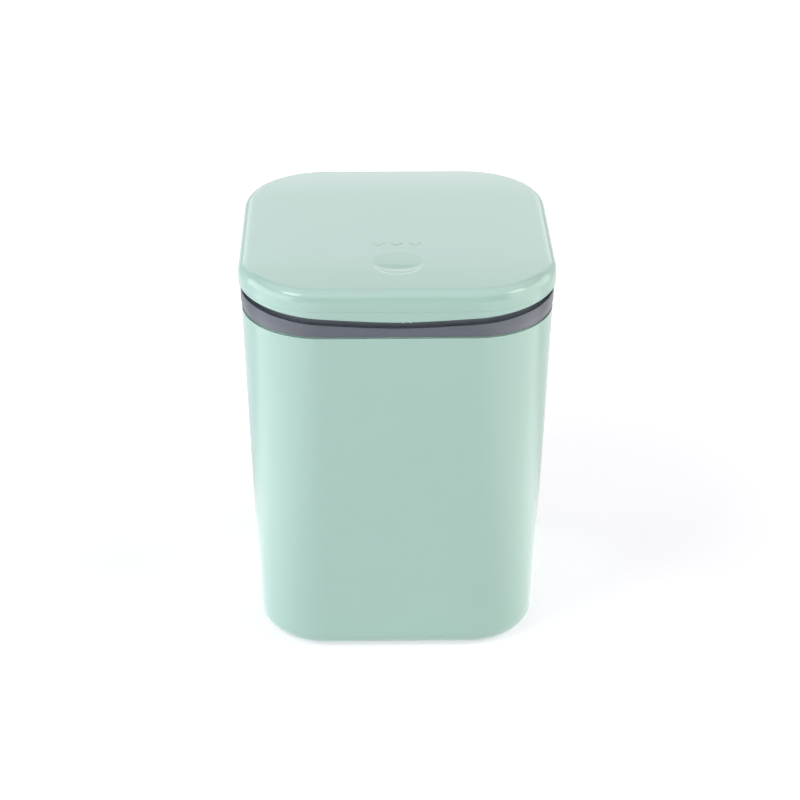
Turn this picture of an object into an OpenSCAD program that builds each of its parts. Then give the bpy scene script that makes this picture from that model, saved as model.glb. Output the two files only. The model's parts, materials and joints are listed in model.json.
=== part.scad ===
// Push top countertop bin: a tapered square tub, a lift-off collar with a push latch
// and a hinged two-part lid. Origin on the worktop under the middle, front towards -Y, +Z up.
// Most pieces are one profile carried round a square path with rounded corners: a profile's
// first value is the distance out from the corner centre line, its second is the height.

/* [Overall plan] */
// Width and depth over the lid
bin_w = 150; // [130:1:180]
// Plan corner radius of the lid
corner_r = 40; // [34:0.5:48]

/* [Tub] */
// Height of the tub up to its rim
tub_h = 175.5; // [150:0.5:200]
// How far the tub's rim sits in from the lid's side
tub_inset = 1.2; // [0.8:0.1:3]
// How far each side leans in from rim to foot
tub_taper = 4.7; // [2:0.1:7]
// Radius of the rounding round the foot
foot_fillet = 11; // [6:0.5:13]
// Moulded wall of the tub
tub_wall = 2.2; // [1.6:0.1:3]
// Moulded floor of the tub
tub_floor = 2.4; // [1.8:0.1:4]
// Width of the flat ring that the bin stands on
foot_ring_w = 5; // [3:0.5:8]
// Depth of the recess inside the foot ring
foot_recess = 1.5; // [0.8:0.1:3]
// Rounding along the tub's rim
rim_round = 0.7; // [0.3:0.1:1]

/* [Collar] */
// Height of the grey band at the middle of the front
band_h = 5.1; // [3.5:0.1:8]
// Rise of the band's top edge from the middle of the front to the sides
edge_rise = 4.4; // [1:0.1:6]
// Roundness of the dip in that edge
dip_round = 16; // [6:1:30]
// How far the band's foot sits in from the tub's side
band_inset = 0.5; // [0:0.1:1]
// How far the band leans out over its height
band_flare = 0.8; // [0:0.1:1]
// Wall of the band
band_wall = 2; // [1.4:0.1:3]
// Depth of the channel behind the band
channel_depth = 2.6; // [1.5:0.1:3.5]
// Width of the channel behind the band
channel_w = 4.1; // [3:0.1:6]
// Wall of the upright neck
neck_wall = 2; // [1.5:0.1:3]
// Height of the neck above the lowest point of the band's edge
neck_rise = 5.6; // [5:0.1:6]
// Length of the skirt that plugs into the tub
skirt_len = 15; // [8:0.5:25]
// Wall of the skirt
skirt_wall = 1.8; // [1.2:0.1:2.5]
// Clearance between the skirt and the tub
skirt_fit = 0.35; // [0.2:0.05:0.8]

/* [Lid] */
// Open gap between the band and the lid
lid_gap = 3.4; // [3:0.1:5]
// Height of the liner's rim below the parting line, at the middle of the front
rim_h = 5.3; // [5:0.1:8]
// Height of the outer shell above the parting line
shell_h = 10.7; // [9:0.1:16]
// Rounding round the lid's top edge
lid_fillet = 6; // [3:0.5:7]
// Fall of the slightly domed top from its middle to the rounding
crown = 1.2; // [0.4:0.1:2]
// Wall of the outer shell
shell_wall = 2.2; // [1.6:0.1:3]
// Thickness of the outer shell's top
shell_top = 2.5; // [1.8:0.1:3]
// Wall of the liner's rim
rim_wall = 2; // [1.4:0.1:2.4]
// Thickness of the liner's plate
liner_plate = 1.6; // [1.2:0.1:2.5]
// Height of the plate's underside above the parting line
plate_lift = 1; // [0.4:0.1:2]
// Clearance between the liner's lip and the shell
lip_fit = 0.3; // [0.1:0.05:0.5]
// Radius of the thumb dish
dish_r = 12.4; // [9:0.1:15]
// Depth of the thumb dish
dish_depth = 1.5; // [0.8:0.1:1.9]
// Distance of the dish's centre from the lid's front
dish_from_front = 31; // [24:0.5:45]
// Width of the pressed-in arrowheads behind the dish
mark_w = 6; // [3:0.5:9]
// Depth of the arrowheads
mark_depth = 0.3; // [0.1:0.05:0.6]

/* [Hinge] */
// Radius of the hinge barrel
barrel_r = 3; // [2.6:0.1:3.4]
// Radius of the steel pin
pin_r = 1.25; // [1:0.05:1.4]
// Radial running clearance round the pin
pin_fit = 0.05; // [0.02:0.01:0.08]
// Height of the pin above the band's edge at the back
pin_rise = 0.6; // [0.3:0.1:0.9]
// Half the length of the pin
pin_half = 33.8; // [31:0.1:34]
// Width of a knuckle
knuckle_w = 6; // [4:0.1:7]
// Clearance beside and round the knuckles
knuckle_fit = 0.4; // [0.3:0.05:0.6]
// Thickness of the push-on caps
cap_t = 1.5; // [1:0.1:2]
// Wire radius of the two lid springs
hspring_wire_r = 0.35; // [0.25:0.05:0.4]
// Middle radius of the lid springs' coils
hspring_r = 2; // [1.8:0.05:2.2]
// Turns in a lid spring
hspring_turns = 7; // [5:1:8]
// Gap between the lid springs' turns
hspring_gap = 0.45; // [0.42:0.02:0.6]
// Length of the springs' legs
hspring_leg = 3.5; // [2:0.5:4]

/* [Latch] */
// Width of the latch case
case_w = 19; // [17:0.5:22]
// Depth of the latch case
case_d = 13.5; // [12.5:0.5:16]
// Height of the latch case
case_h = 27.6; // [26:0.2:32]
// Wall of the latch case
case_wall = 1.5; // [1:0.1:2]
// Floor of the latch case
case_floor = 2; // [1.5:0.1:3]
// Thickness of the latch cover
cover_t = 1.5; // [1:0.1:2]
// Depth of the case's top below the neck's top
case_drop = 3.4; // [3:0.1:5]
// Length of the collar's screw bosses
boss_len = 3.5; // [2.5:0.1:5]
// Distance between the case's two screws
case_screw_span = 28; // [26:0.5:34]
// Clearance round the plunger in its case
plunger_fit = 0.3; // [0.2:0.05:0.5]
// Height of the plunger's block
plunger_h = 10; // [9:0.1:12]
// Room below the plunger at rest
plunger_room = 8; // [6:0.1:10]
// Height of the plunger's two arms
arm_h = 7.2; // [6:0.1:9]
// Thickness of an arm
arm_t = 2; // [1.4:0.1:2.5]
// Middle radius of the plunger's spring
lspring_r = 2.4; // [2:0.1:2.5]
// Wire radius of the plunger's spring
lspring_wire_r = 0.4; // [0.3:0.05:0.5]
// Turns in the plunger's spring
lspring_turns = 7; // [5:1:8]
// Radius of the cam wire
cam_wire_r = 0.5; // [0.4:0.05:0.6]
// Width of the striker's head
head_w = 7; // [6:0.1:8]
// Height of the striker's head
head_h = 4.4; // [3:0.1:5]
// Clearance between the striker's head and the plunger
head_fit = 0.3; // [0.3:0.05:0.6]
// Width of the striker's foot plate
striker_w = 18; // [16:0.5:20]
// Thickness of the striker's foot plate
striker_t = 1.8; // [1.4:0.1:2.5]

/* [Screws and pads] */
// Shank radius of the small screws
screw_r = 1.3; // [1:0.05:1.5]
// Head radius of the small screws
screw_head_r = 2.3; // [2:0.1:2.8]
// Head height of the small screws
screw_head_h = 1.6; // [1:0.1:2]
// Distance of each liner screw from the middle, along both sides
liner_screw_at = 48; // [40:0.5:52]
// Radius of the screw bosses inside the lid
lid_boss_r = 3.5; // [3:0.1:4]
// Radius of the two soft pads
pad_r = 3; // [2:0.1:4]
// Distance of the pads from the middle
pad_at = 38; // [24:0.5:40]
// Room left under a pad when the lid is pressed right down
pad_room = 0.25; // [0.15:0.05:0.4]

/* [Movement] */
// Turn of the lid when it is pressed right down, in degrees
press_turn = 1.06; // [0.6:0.02:1.1]

/* [Hidden] */
$fn = 96;

mint = [0.67, 0.79, 0.75];
band_grey = [0.42, 0.44, 0.47];
dark_grey = [0.24, 0.25, 0.27];
steel = [0.72, 0.73, 0.75];
soft_clear = [0.82, 0.84, 0.82];
eps = 0.01;

half = bin_w / 2;
core = half - corner_r;
// How far a cutting shape runs past what it cuts
over = 1;

// Heights, from the worktop up
band_z = tub_h + band_h;
lid_low_z = band_z + lid_gap;
part_z = lid_low_z + rim_h;
top_z = part_z + shell_h;
plate_z = part_z + plate_lift;
plate_top_z = plate_z + liner_plate;
channel_z = band_z - channel_depth;
neck_z = band_z + neck_rise;

// Distances out from the corner centre line
tub_r = corner_r - tub_inset;
lean = atan(tub_taper / tub_h);
band_foot_r = tub_r - band_inset;
band_r = band_foot_r + band_flare;
channel_r = band_r - band_wall;
neck_r = channel_r - channel_w;
neck_in_r = neck_r - neck_wall;
rim_in_r = corner_r - rim_wall;
lip_r = corner_r - shell_wall - lip_fit;

// Hinge line along X, at the back
hinge_y = half - barrel_r;
hinge_z = band_z + edge_rise + pin_rise;
groove_r = barrel_r + knuckle_fit;
bore_r = pin_r + pin_fit;
cap_r = barrel_r - 0.5;
cap_x = pin_half - cap_t;
end_knuckle_x = cap_x - knuckle_fit / 2 - knuckle_w;
lid_knuckle_x = end_knuckle_x - knuckle_fit - knuckle_w;
spring_x = lid_knuckle_x - knuckle_fit;
// Room past each end of the pin in its groove, and depth of a knuckle's web below the barrel
pin_end_room = 0.6;
web_drop = 2;

// Small screws: pilot and clearance holes, the slot's size, and the plastic left past a shank's end
pilot_r = screw_r - 0.1;
screw_hole_r = screw_r + 0.2;
slot_w = 0.6;
slot_len = 2.6;
slot_depth = 0.8;
screw_end_room = 0.6;
pilot_skin = 0.8;

// Latch, on the inside of the collar's front
neck_y = -(core + neck_in_r);
case_y = neck_y + boss_len;
case_back_y = case_y + case_d;
case_z = neck_z - case_drop - case_h;
case_top_z = case_z + case_h;
flange_h = 8;
flange_t = 2;
flange_end = 4;
flange_w = case_screw_span + 2 * flange_end;
screw_below_top = 3.6;
case_screw_z = case_top_z - screw_below_top;
collar_boss_r = 3.2;
rib_t = 0.7;
rib_fit = 0.2;
rib_room = 0.3;
plunger_y0 = case_y + case_wall + plunger_fit;
plunger_y1 = case_back_y - plunger_fit - rib_t - rib_room;
plunger_y = (plunger_y0 + plunger_y1) / 2;
plunger_w = case_w - 2 * case_wall - 2 * plunger_fit;
plunger_z = case_z + case_floor + plunger_room;
plunger_top_z = plunger_z + plunger_h;
head_z = plunger_top_z + head_fit;
spring_room = 0.4;
pocket_roof = 6;
pocket_wall = 0.7;
pocket_h = plunger_h - pocket_roof;
pocket_r = lspring_r + lspring_wire_r + spring_room;
lspring_y = plunger_y1 - pocket_r - pocket_wall;
cam_room = 0.2;
cam_y = plunger_y0 + cam_room + cam_wire_r;
cam_foot_z = case_z + case_floor + 2;
cam_tip_z = plunger_z + 5.5;
cam_tip_len = 2;
track_w = 8;
track_roof = 1.6;
track_depth = cam_y + cam_tip_len + 0.3 - plunger_y0;
island_h = track_depth - 2 * cam_wire_r - 0.5;
striker_d = 9;
striker_z = plate_z - striker_t;
striker_screw_x = striker_w / 2 - screw_head_r - 0.2;
striker_boss_h = 3.4;
striker_boss_r = 2.8;
head_d = 5;
head_neck = 3;
head_slope = 1.6;
head_bevel = 0.8;
hook = 0.5;

// Screws that join liner and shell, and what they grip in the shell's bosses
liner_screw_grip = 3.6;
liner_screw_room = 0.4;

// Inside of the tub at height z, out from the corner centre line
function tub_side_r(z) = tub_r - tub_taper * (tub_h - z) / tub_h;
function tub_in_r(z) = tub_side_r(z) - tub_wall / cos(lean);
function arc(x, z, r, from, to, steps) =
    [for (i = [0:steps]) let (a = from + (to - from) * i / steps) [x + r * cos(a), z + r * sin(a)]];
// Rise of the band's and the lid's edge at a distance x from the middle of the front
function edge_lift(x) =
    let (u = min(abs(x), core + rim_in_r), full = core + rim_in_r)
    edge_rise * (sqrt(u * u + dip_round * dip_round) - dip_round)
        / (sqrt(full * full + dip_round * dip_round) - dip_round);
// Height of the domed top at a distance r out from the corner centre line
function top_at(r) = top_z - crown * pow(r / (corner_r - lid_fillet), 2);

// One profile carried round the square path
module around(profile) {
    for (i = [0:3]) {
        rotate(90 * i) {
            translate([core, core, 0])
                rotate_extrude(angle = 90)
                    polygon(profile);
            translate([core, -core, 0])
                rotate([90, 0, -90])
                    linear_extrude(2 * core)
                        polygon(profile);
        }
    }
}

// The square middle that a profile starting at 0 leaves open
module middle(z0, z1) {
    translate([-core, -core, z0])
        cube([2 * core, 2 * core, z1 - z0]);
}

// Everything below the dipped edge whose lowest point is at z
module below_edge(z) {
    steps = 32;
    reach = half + over;
    depth = 2 * skirt_len;
    points = [for (i = [0:steps]) let (x = reach - 2 * reach * i / steps) [x, z + edge_lift(x)]];
    rotate([90, 0, 0])
        linear_extrude(reach)
            polygon(concat([[-reach, z - depth], [reach, z - depth]], points));
    translate([-reach, -eps, z - depth])
        cube([2 * reach, reach + eps, depth + edge_rise]);
}

// A bar of round section along X
module rod_x(r, x0, x1) {
    translate([x0, 0, 0])
        rotate([0, 90, 0])
            cylinder(h = x1 - x0, r = r);
}

module at_hinge() {
    translate([0, hinge_y, hinge_z])
        children();
}

module both_sides() {
    children();
    mirror([1, 0, 0])
        children();
}

module tub_shell() {
    foot_r = tub_side_r(0);
    fillet_x = foot_r - foot_fillet * (1 - sin(lean)) / cos(lean);
    in_foot_r = tub_in_r(0);
    in_fillet = foot_fillet - tub_wall;
    floor_top = foot_recess + tub_floor;
    in_fillet_x = in_foot_r - in_fillet * (1 - sin(lean)) / cos(lean) + floor_top * tan(lean);
    profile = concat(
        [[0, foot_recess], [fillet_x - foot_ring_w, foot_recess], [fillet_x - foot_ring_w, 0]],
        arc(fillet_x, foot_fillet, foot_fillet, -90, -lean, 12),
        arc(tub_r - rim_round, tub_h - rim_round, rim_round, -lean, 90, 4),
        arc(tub_in_r(tub_h) + rim_round, tub_h - rim_round, rim_round, 90, 180, 4),
        arc(in_fillet_x, floor_top + in_fillet, in_fillet, -lean, -90, 10),
        [[0, floor_top]]);
    color(mint) {
        around(profile);
        middle(foot_recess, floor_top);
    }
}

module collar_body() {
    skirt_z = tub_h - skirt_len;
    flare_z = tub_h - 4;
    ledge_t = 1;
    neck_foot = 0.5;
    neck_profile = [
        [tub_in_r(skirt_z) - skirt_fit, skirt_z],
        [tub_in_r(tub_h) - skirt_fit, tub_h],
        [band_foot_r, tub_h],
        [channel_r, channel_z],
        [neck_r, channel_z],
        [neck_r, neck_z],
        [neck_in_r, neck_z],
        [neck_in_r, tub_h + neck_foot],
        [tub_in_r(flare_z) - skirt_fit - skirt_wall, flare_z],
        [tub_in_r(skirt_z) - skirt_fit - skirt_wall, skirt_z]];
    band_profile = [
        [channel_r, tub_h],
        [band_foot_r, tub_h],
        [band_r, band_z],
        [band_r, band_z + edge_rise + over],
        [channel_r, band_z + edge_rise + over]];
    ledge_profile = [
        [neck_r - eps, channel_z - ledge_t],
        [channel_r + eps, channel_z - ledge_t],
        [channel_r + eps, channel_z + edge_rise],
        [neck_r - eps, channel_z + edge_rise]];
    around(neck_profile);
    intersection() {
        around(band_profile);
        below_edge(band_z);
    }
    intersection() {
        around(ledge_profile);
        below_edge(channel_z);
    }
}

// A collar knuckle with the web that carries it, from x0 outwards
module collar_knuckle(x0, width) {
    band_back = core + band_r - hinge_y;
    at_hinge() {
        rod_x(barrel_r, x0, x0 + width);
        translate([x0, 0, 0])
            rotate([90, 0, 90])
                linear_extrude(width)
                    polygon([[-barrel_r, 0], [barrel_r, 0], [band_back, -barrel_r - web_drop],
                             [-barrel_r, -barrel_r - web_drop]]);
    }
}

module collar_ring() {
    color(band_grey)
        difference() {
            union() {
                difference() {
                    collar_body();
                    at_hinge()
                        rod_x(groove_r, -pin_half - pin_end_room, pin_half + pin_end_room);
                }
                both_sides()
                    collar_knuckle(end_knuckle_x, knuckle_w);
                collar_knuckle(-knuckle_w / 2, knuckle_w);
                both_sides()
                    translate([case_screw_span / 2, neck_y - eps, case_screw_z])
                        rotate([-90, 0, 0])
                            cylinder(h = boss_len + eps, r = collar_boss_r);
            }
            at_hinge()
                rod_x(bore_r, -pin_half, pin_half);
            both_sides()
                translate([case_screw_span / 2, neck_y - neck_wall + pilot_skin, case_screw_z])
                    rotate([-90, 0, 0])
                        cylinder(h = boss_len + neck_wall, r = pilot_r);
        }
}

module latch_case() {
    color(dark_grey)
        difference() {
            union() {
                translate([-case_w / 2, case_y, case_z])
                    cube([case_w, case_d, case_h]);
                translate([-flange_w / 2, case_y, case_top_z - flange_h])
                    cube([flange_w, flange_t, flange_h]);
            }
            translate([-case_w / 2 + case_wall, case_y + case_wall, case_z + case_floor])
                cube([case_w - 2 * case_wall, case_d, case_h]);
            both_sides()
                translate([case_screw_span / 2, case_y - over, case_screw_z])
                    rotate([-90, 0, 0])
                        cylinder(h = flange_t + 2 * over, r = screw_hole_r);
            translate([0, case_y - over, cam_foot_z])
                rotate([-90, 0, 0])
                    cylinder(h = case_wall + 2 * over, r = cam_wire_r + pin_fit);
        }
}

module latch_cover() {
    rib_h = plunger_room + case_floor + plunger_h;
    color(dark_grey) {
        translate([-case_w / 2, case_back_y, case_z])
            cube([case_w, cover_t, case_h]);
        translate([-plunger_w / 2, case_back_y - rib_t, case_z + case_floor + rib_fit])
            cube([plunger_w, rib_t + eps, rib_h]);
    }
}

module latch_plunger() {
    arm_x = head_w / 2 + head_fit + hook;
    arm_margin = 0.5;
    hook_z = arm_h - 1;
    hook_h = 1;
    hook_slope = 0.6;
    tip_bevel = 0.8;
    depth = plunger_y1 - plunger_y0;
    color(dark_grey)
        difference() {
            union() {
                translate([-plunger_w / 2, plunger_y0, plunger_z])
                    cube([plunger_w, depth, plunger_h]);
                both_sides()
                    translate([0, plunger_y + head_d / 2 + arm_margin, plunger_top_z])
                        rotate([90, 0, 0])
                            linear_extrude(head_d + 2 * arm_margin)
                                polygon([[arm_x, -eps], [arm_x + arm_t, -eps],
                                         [arm_x + arm_t, hook_z], [arm_x + arm_t - tip_bevel, arm_h],
                                         [arm_x, arm_h], [arm_x - hook, hook_z],
                                         [arm_x - hook, hook_z - hook_h],
                                         [arm_x, hook_z - hook_h - hook_slope]]);
            }
            translate([0, lspring_y, plunger_z - over])
                cylinder(h = pocket_h + over, r = pocket_r);
            difference() {
                translate([-track_w / 2, plunger_y0 - over, plunger_z - over])
                    cube([track_w, over + track_depth, over + plunger_h - track_roof]);
                translate([0, plunger_y0 + track_depth + over, cam_tip_z - cam_wire_r - cam_room])
                    rotate([90, 0, 0])
                        linear_extrude(island_h + over)
                            polygon([[0, -0.6], [1.6, 0.4], [2, -0.6], [0, -3], [-2, -0.6], [-1.6, 0.4]]);
            }
        }
}

// Coil of round wire round +Z from angle 0, with a straight leg at each end along the wire
module coil(r, wire_r, pitch, turns, leg) {
    sides = 6;
    rings_per_turn = 8;
    last_a = 360 * turns;
    slope = atan(pitch / (2 * PI * r));
    // Ring of points round the wire at angle a, shifted along the wire
    function ring(a, shift) = [for (s = [0:sides - 1])
        let (b = 360 * s / sides, out = r + wire_r * cos(b), up = wire_r * sin(b))
        [out * cos(a) + (up * sin(slope) - shift) * sin(a),
         out * sin(a) - (up * sin(slope) - shift) * cos(a),
         pitch * a / 360 + up * cos(slope)]];
    coil_rings = [for (i = [0:turns * rings_per_turn]) ring(360 * i / rings_per_turn, 0)];
    rings = leg > 0 ? concat([ring(0, -leg)], coil_rings, [ring(last_a, leg)]) : coil_rings;
    last = len(rings) - 1;
    points = [for (one = rings) each one];
    faces = concat(
        [[for (s = [0:sides - 1]) s]],
        [for (i = [0:last - 1], s = [0:sides - 1])
            let (a = i * sides + s, b = i * sides + (s + 1) % sides)
            each [[a, a + sides, b], [b, a + sides, b + sides]]],
        [[for (s = [sides - 1:-1:0]) last * sides + s]]);
    polyhedron(points, faces);
    echo("least gap between turns", pitch * cos(slope) - 2 * wire_r);
}

module latch_spring() {
    spring_z = case_z + case_floor;
    top_room = 0.2;
    spring_h = plunger_z + pocket_h - spring_z - top_room;
    pitch = (spring_h - 2 * lspring_wire_r) / lspring_turns;
    color(steel)
        difference() {
            translate([0, lspring_y, spring_z + lspring_wire_r])
                coil(lspring_r, lspring_wire_r, pitch, lspring_turns, 0);
            translate([-lspring_r - over, lspring_y - lspring_r - over, spring_z - over])
                cube([2 * lspring_r + 2 * over, 2 * lspring_r + 2 * over, over]);
        }
}

module cam_wire() {
    wire_y = case_y + 0.3;
    color(steel) {
        translate([0, cam_y, cam_foot_z])
            cylinder(h = cam_tip_z - cam_foot_z, r = cam_wire_r);
        translate([0, wire_y, cam_foot_z])
            rotate([-90, 0, 0])
                cylinder(h = cam_y - wire_y, r = cam_wire_r);
        translate([0, cam_y, cam_foot_z])
            sphere(cam_wire_r);
        translate([0, cam_y, cam_tip_z])
            sphere(cam_wire_r);
        translate([0, cam_y, cam_tip_z])
            rotate([-90, 0, 0])
                cylinder(h = cam_tip_len, r = cam_wire_r);
    }
}

// A pan-head screw along +Z: head below z = 0, shank above
module screw(length) {
    difference() {
        union() {
            cylinder(h = length, r = screw_r - 0.15);
            translate([0, 0, -screw_head_h])
                cylinder(h = screw_head_h, r = screw_head_r);
        }
        for (turn = [0, 90])
            rotate(turn)
                translate([-slot_len / 2, -slot_w / 2, -screw_head_h - over])
                    cube([slot_len, slot_w, slot_depth + over]);
    }
}

module case_screws() {
    color(steel)
        both_sides()
            translate([case_screw_span / 2, case_y + flange_t, case_screw_z])
                rotate([90, 0, 0])
                    screw(flange_t + boss_len + neck_wall - pilot_skin - screw_end_room);
}

module hinge_pin() {
    color(steel)
        at_hinge()
            rod_x(pin_r, -pin_half, pin_half);
}

module pin_cap() {
    color(steel)
        at_hinge()
            difference() {
                rod_x(cap_r, cap_x, cap_x + cap_t);
                rod_x(pin_r, cap_x - over, cap_x + cap_t + over);
            }
}

module pin_cap_left() {
    mirror([1, 0, 0])
        pin_cap();
}

module pin_cap_right() {
    pin_cap();
}

module lid_spring() {
    pitch = 2 * hspring_wire_r + hspring_gap;
    turns = hspring_turns + 0.5;
    x0 = spring_x - hspring_wire_r - pitch * turns;
    color(steel)
        at_hinge()
            translate([x0, 0, 0])
                rotate([0, 90, 0])
                    coil(hspring_r, hspring_wire_r, pitch, turns, hspring_leg);
}

module lid_spring_left() {
    mirror([1, 0, 0])
        lid_spring();
}

module lid_spring_right() {
    lid_spring();
}

module arrowhead() {
    polygon([[-mark_w / 2, mark_w / 4], [-mark_w / 2, mark_w / 2], [0, 0], [mark_w / 2, mark_w / 2],
             [mark_w / 2, mark_w / 4], [0, -mark_w / 4]]);
}

module lid_shell() {
    top_r = corner_r - lid_fillet;
    slope = atan(2 * crown / top_r);
    arc_z = top_at(top_r) - lid_fillet * cos(slope);
    in_fillet = lid_fillet - shell_wall;
    in_arc_z = top_at(top_r) - shell_top - in_fillet * cos(slope);
    crown_steps = 8;
    crown_points = [for (i = [crown_steps - 1:-1:0]) let (r = top_r * i / crown_steps) [r, top_at(r)]];
    in_crown = [for (i = [0:crown_steps - 1]) let (r = top_r * i / crown_steps) [r, top_at(r) - shell_top]];
    profile = concat(
        [[corner_r - shell_wall, part_z], [corner_r, part_z]],
        arc(top_r, arc_z, lid_fillet, 0, 90 - slope, 12),
        crown_points,
        in_crown,
        arc(top_r, in_arc_z, in_fillet, 90 - slope, 0, 8));
    dish_y = -half + dish_from_front;
    ball_r = (dish_r * dish_r + dish_depth * dish_depth) / (2 * dish_depth);
    mark_y = dish_y + dish_r + 7.5;
    mark_gap = 2.5;
    boss_h = top_z - crown - plate_top_z - shell_top / 2;
    color(mint)
        difference() {
            union() {
                around(profile);
                middle(top_z - shell_top, top_z);
                for (x = [-1, 1], y = [-1, 1])
                    translate([x * liner_screw_at, y * liner_screw_at, plate_top_z])
                        cylinder(h = boss_h, r = lid_boss_r);
            }
            translate([0, dish_y, top_at(corner_r - dish_from_front) - dish_depth + ball_r])
                sphere(ball_r, $fn = 192);
            for (i = [-1:1])
                translate([i * (mark_w + mark_gap), mark_y, top_z - mark_depth])
                    linear_extrude(mark_depth + over)
                        arrowhead();
            for (x = [-1, 1], y = [-1, 1])
                translate([x * liner_screw_at, y * liner_screw_at, plate_top_z - over])
                    cylinder(h = over + liner_screw_grip + liner_screw_room, r = pilot_r);
        }
}

// A lid knuckle with the web that carries it from the liner's rim
module lid_knuckle(x0) {
    at_hinge()
        rod_x(barrel_r, x0, x0 + knuckle_w);
    translate([x0, hinge_y, hinge_z])
        cube([knuckle_w, barrel_r, part_z - hinge_z]);
}

module liner_body() {
    low = lid_low_z;
    plate_slope = 2;
    profile = [
        [rim_in_r, low],
        [corner_r, low],
        [corner_r, part_z],
        [lip_r, part_z],
        [lip_r, plate_top_z],
        [0, plate_top_z],
        [0, plate_z],
        [lip_r - liner_plate, plate_z],
        [rim_in_r, plate_z - plate_slope]];
    difference() {
        union() {
            around(profile);
            middle(plate_z, plate_top_z);
        }
        difference() {
            below_edge(lid_low_z);
            translate([0, 0, -eps])
                middle(0, plate_z);
        }
    }
}

module lid_liner() {
    color(mint)
        difference() {
            union() {
                difference() {
                    liner_body();
                    at_hinge()
                        rod_x(groove_r, -pin_half - pin_end_room, pin_half + pin_end_room);
                }
                both_sides()
                    lid_knuckle(lid_knuckle_x);
                both_sides()
                    translate([striker_screw_x, plunger_y, plate_top_z - eps])
                        cylinder(h = striker_boss_h + eps, r = striker_boss_r);
            }
            at_hinge()
                rod_x(bore_r, -pin_half, pin_half);
            both_sides()
                translate([striker_screw_x, plunger_y, plate_z - over])
                    cylinder(h = over + liner_plate + striker_boss_h - pilot_skin, r = pilot_r);
            for (x = [-1, 1], y = [-1, 1])
                translate([x * liner_screw_at, y * liner_screw_at, plate_z - over])
                    cylinder(h = liner_plate + 2 * over, r = screw_hole_r);
        }
}

module striker() {
    stem_w = head_w - head_neck;
    shoulder_z = head_z + head_h - head_bevel;
    nose_z = head_z + head_slope;
    color(dark_grey)
        difference() {
            union() {
                translate([-striker_w / 2, plunger_y - striker_d / 2, striker_z])
                    cube([striker_w, striker_d, striker_t]);
                translate([0, plunger_y + head_d / 2, 0])
                    rotate([90, 0, 0])
                        linear_extrude(head_d)
                            polygon([[-stem_w / 2, striker_z + eps], [-stem_w / 2, head_z + head_h],
                                     [-head_w / 2, shoulder_z], [-head_w / 2, nose_z],
                                     [-head_w / 2 + head_slope, head_z], [head_w / 2 - head_slope, head_z],
                                     [head_w / 2, nose_z], [head_w / 2, shoulder_z],
                                     [stem_w / 2, head_z + head_h], [stem_w / 2, striker_z + eps]]);
            }
            both_sides()
                translate([striker_screw_x, plunger_y, striker_z - over])
                    cylinder(h = striker_t + 2 * over, r = screw_hole_r);
        }
}

module striker_screws() {
    color(steel)
        both_sides()
            translate([striker_screw_x, plunger_y, striker_z])
                screw(striker_t + liner_plate + striker_boss_h - pilot_skin - 0.4);
}

module liner_screws() {
    color(steel)
        for (x = [-1, 1], y = [-1, 1])
            translate([x * liner_screw_at, y * liner_screw_at, plate_z])
                screw(liner_plate + liner_screw_grip);
}

// Soft pad under the liner, over the neck's top
module lid_pad() {
    pad_inward = 0.8;
    pad_y = -(core + neck_r - neck_wall / 2);
    press_here = (hinge_y - pad_y) * sin(press_turn);
    pad_h = plate_z - neck_z - press_here - pad_room;
    color(soft_clear)
        translate([pad_at, pad_y + pad_inward, plate_z - pad_h])
            cylinder(h = pad_h, r = pad_r);
}

module lid_pad_left() {
    mirror([1, 0, 0])
        lid_pad();
}

module lid_pad_right() {
    lid_pad();
}

tub_shell();
collar_ring();
latch_case();
latch_cover();
latch_plunger();
latch_spring();
cam_wire();
case_screws();
hinge_pin();
pin_cap_left();
pin_cap_right();
lid_spring_left();
lid_spring_right();
lid_shell();
lid_liner();
striker();
striker_screws();
liner_screws();
lid_pad_left();
lid_pad_right();
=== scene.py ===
"""A small push top countertop bin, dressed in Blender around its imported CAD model.

Sizes are millimetres unless a name says otherwise, and MM turns them into Blender's metres.
The bin stands on the floor with its middle at the origin, its front towards -Y and +Z up.
Most of its shells are one moulded profile carried round a square plan with round corners,
so a profile point's first value is the distance out from the line of the corner centres.
"""

from __future__ import annotations

import json
import logging
import math
from dataclasses import dataclass
from enum import Enum
from typing import Callable, Iterable, Sequence

import bmesh
import bpy
from mathutils import Matrix, Vector
from mathutils.geometry import delaunay_2d_cdt

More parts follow.
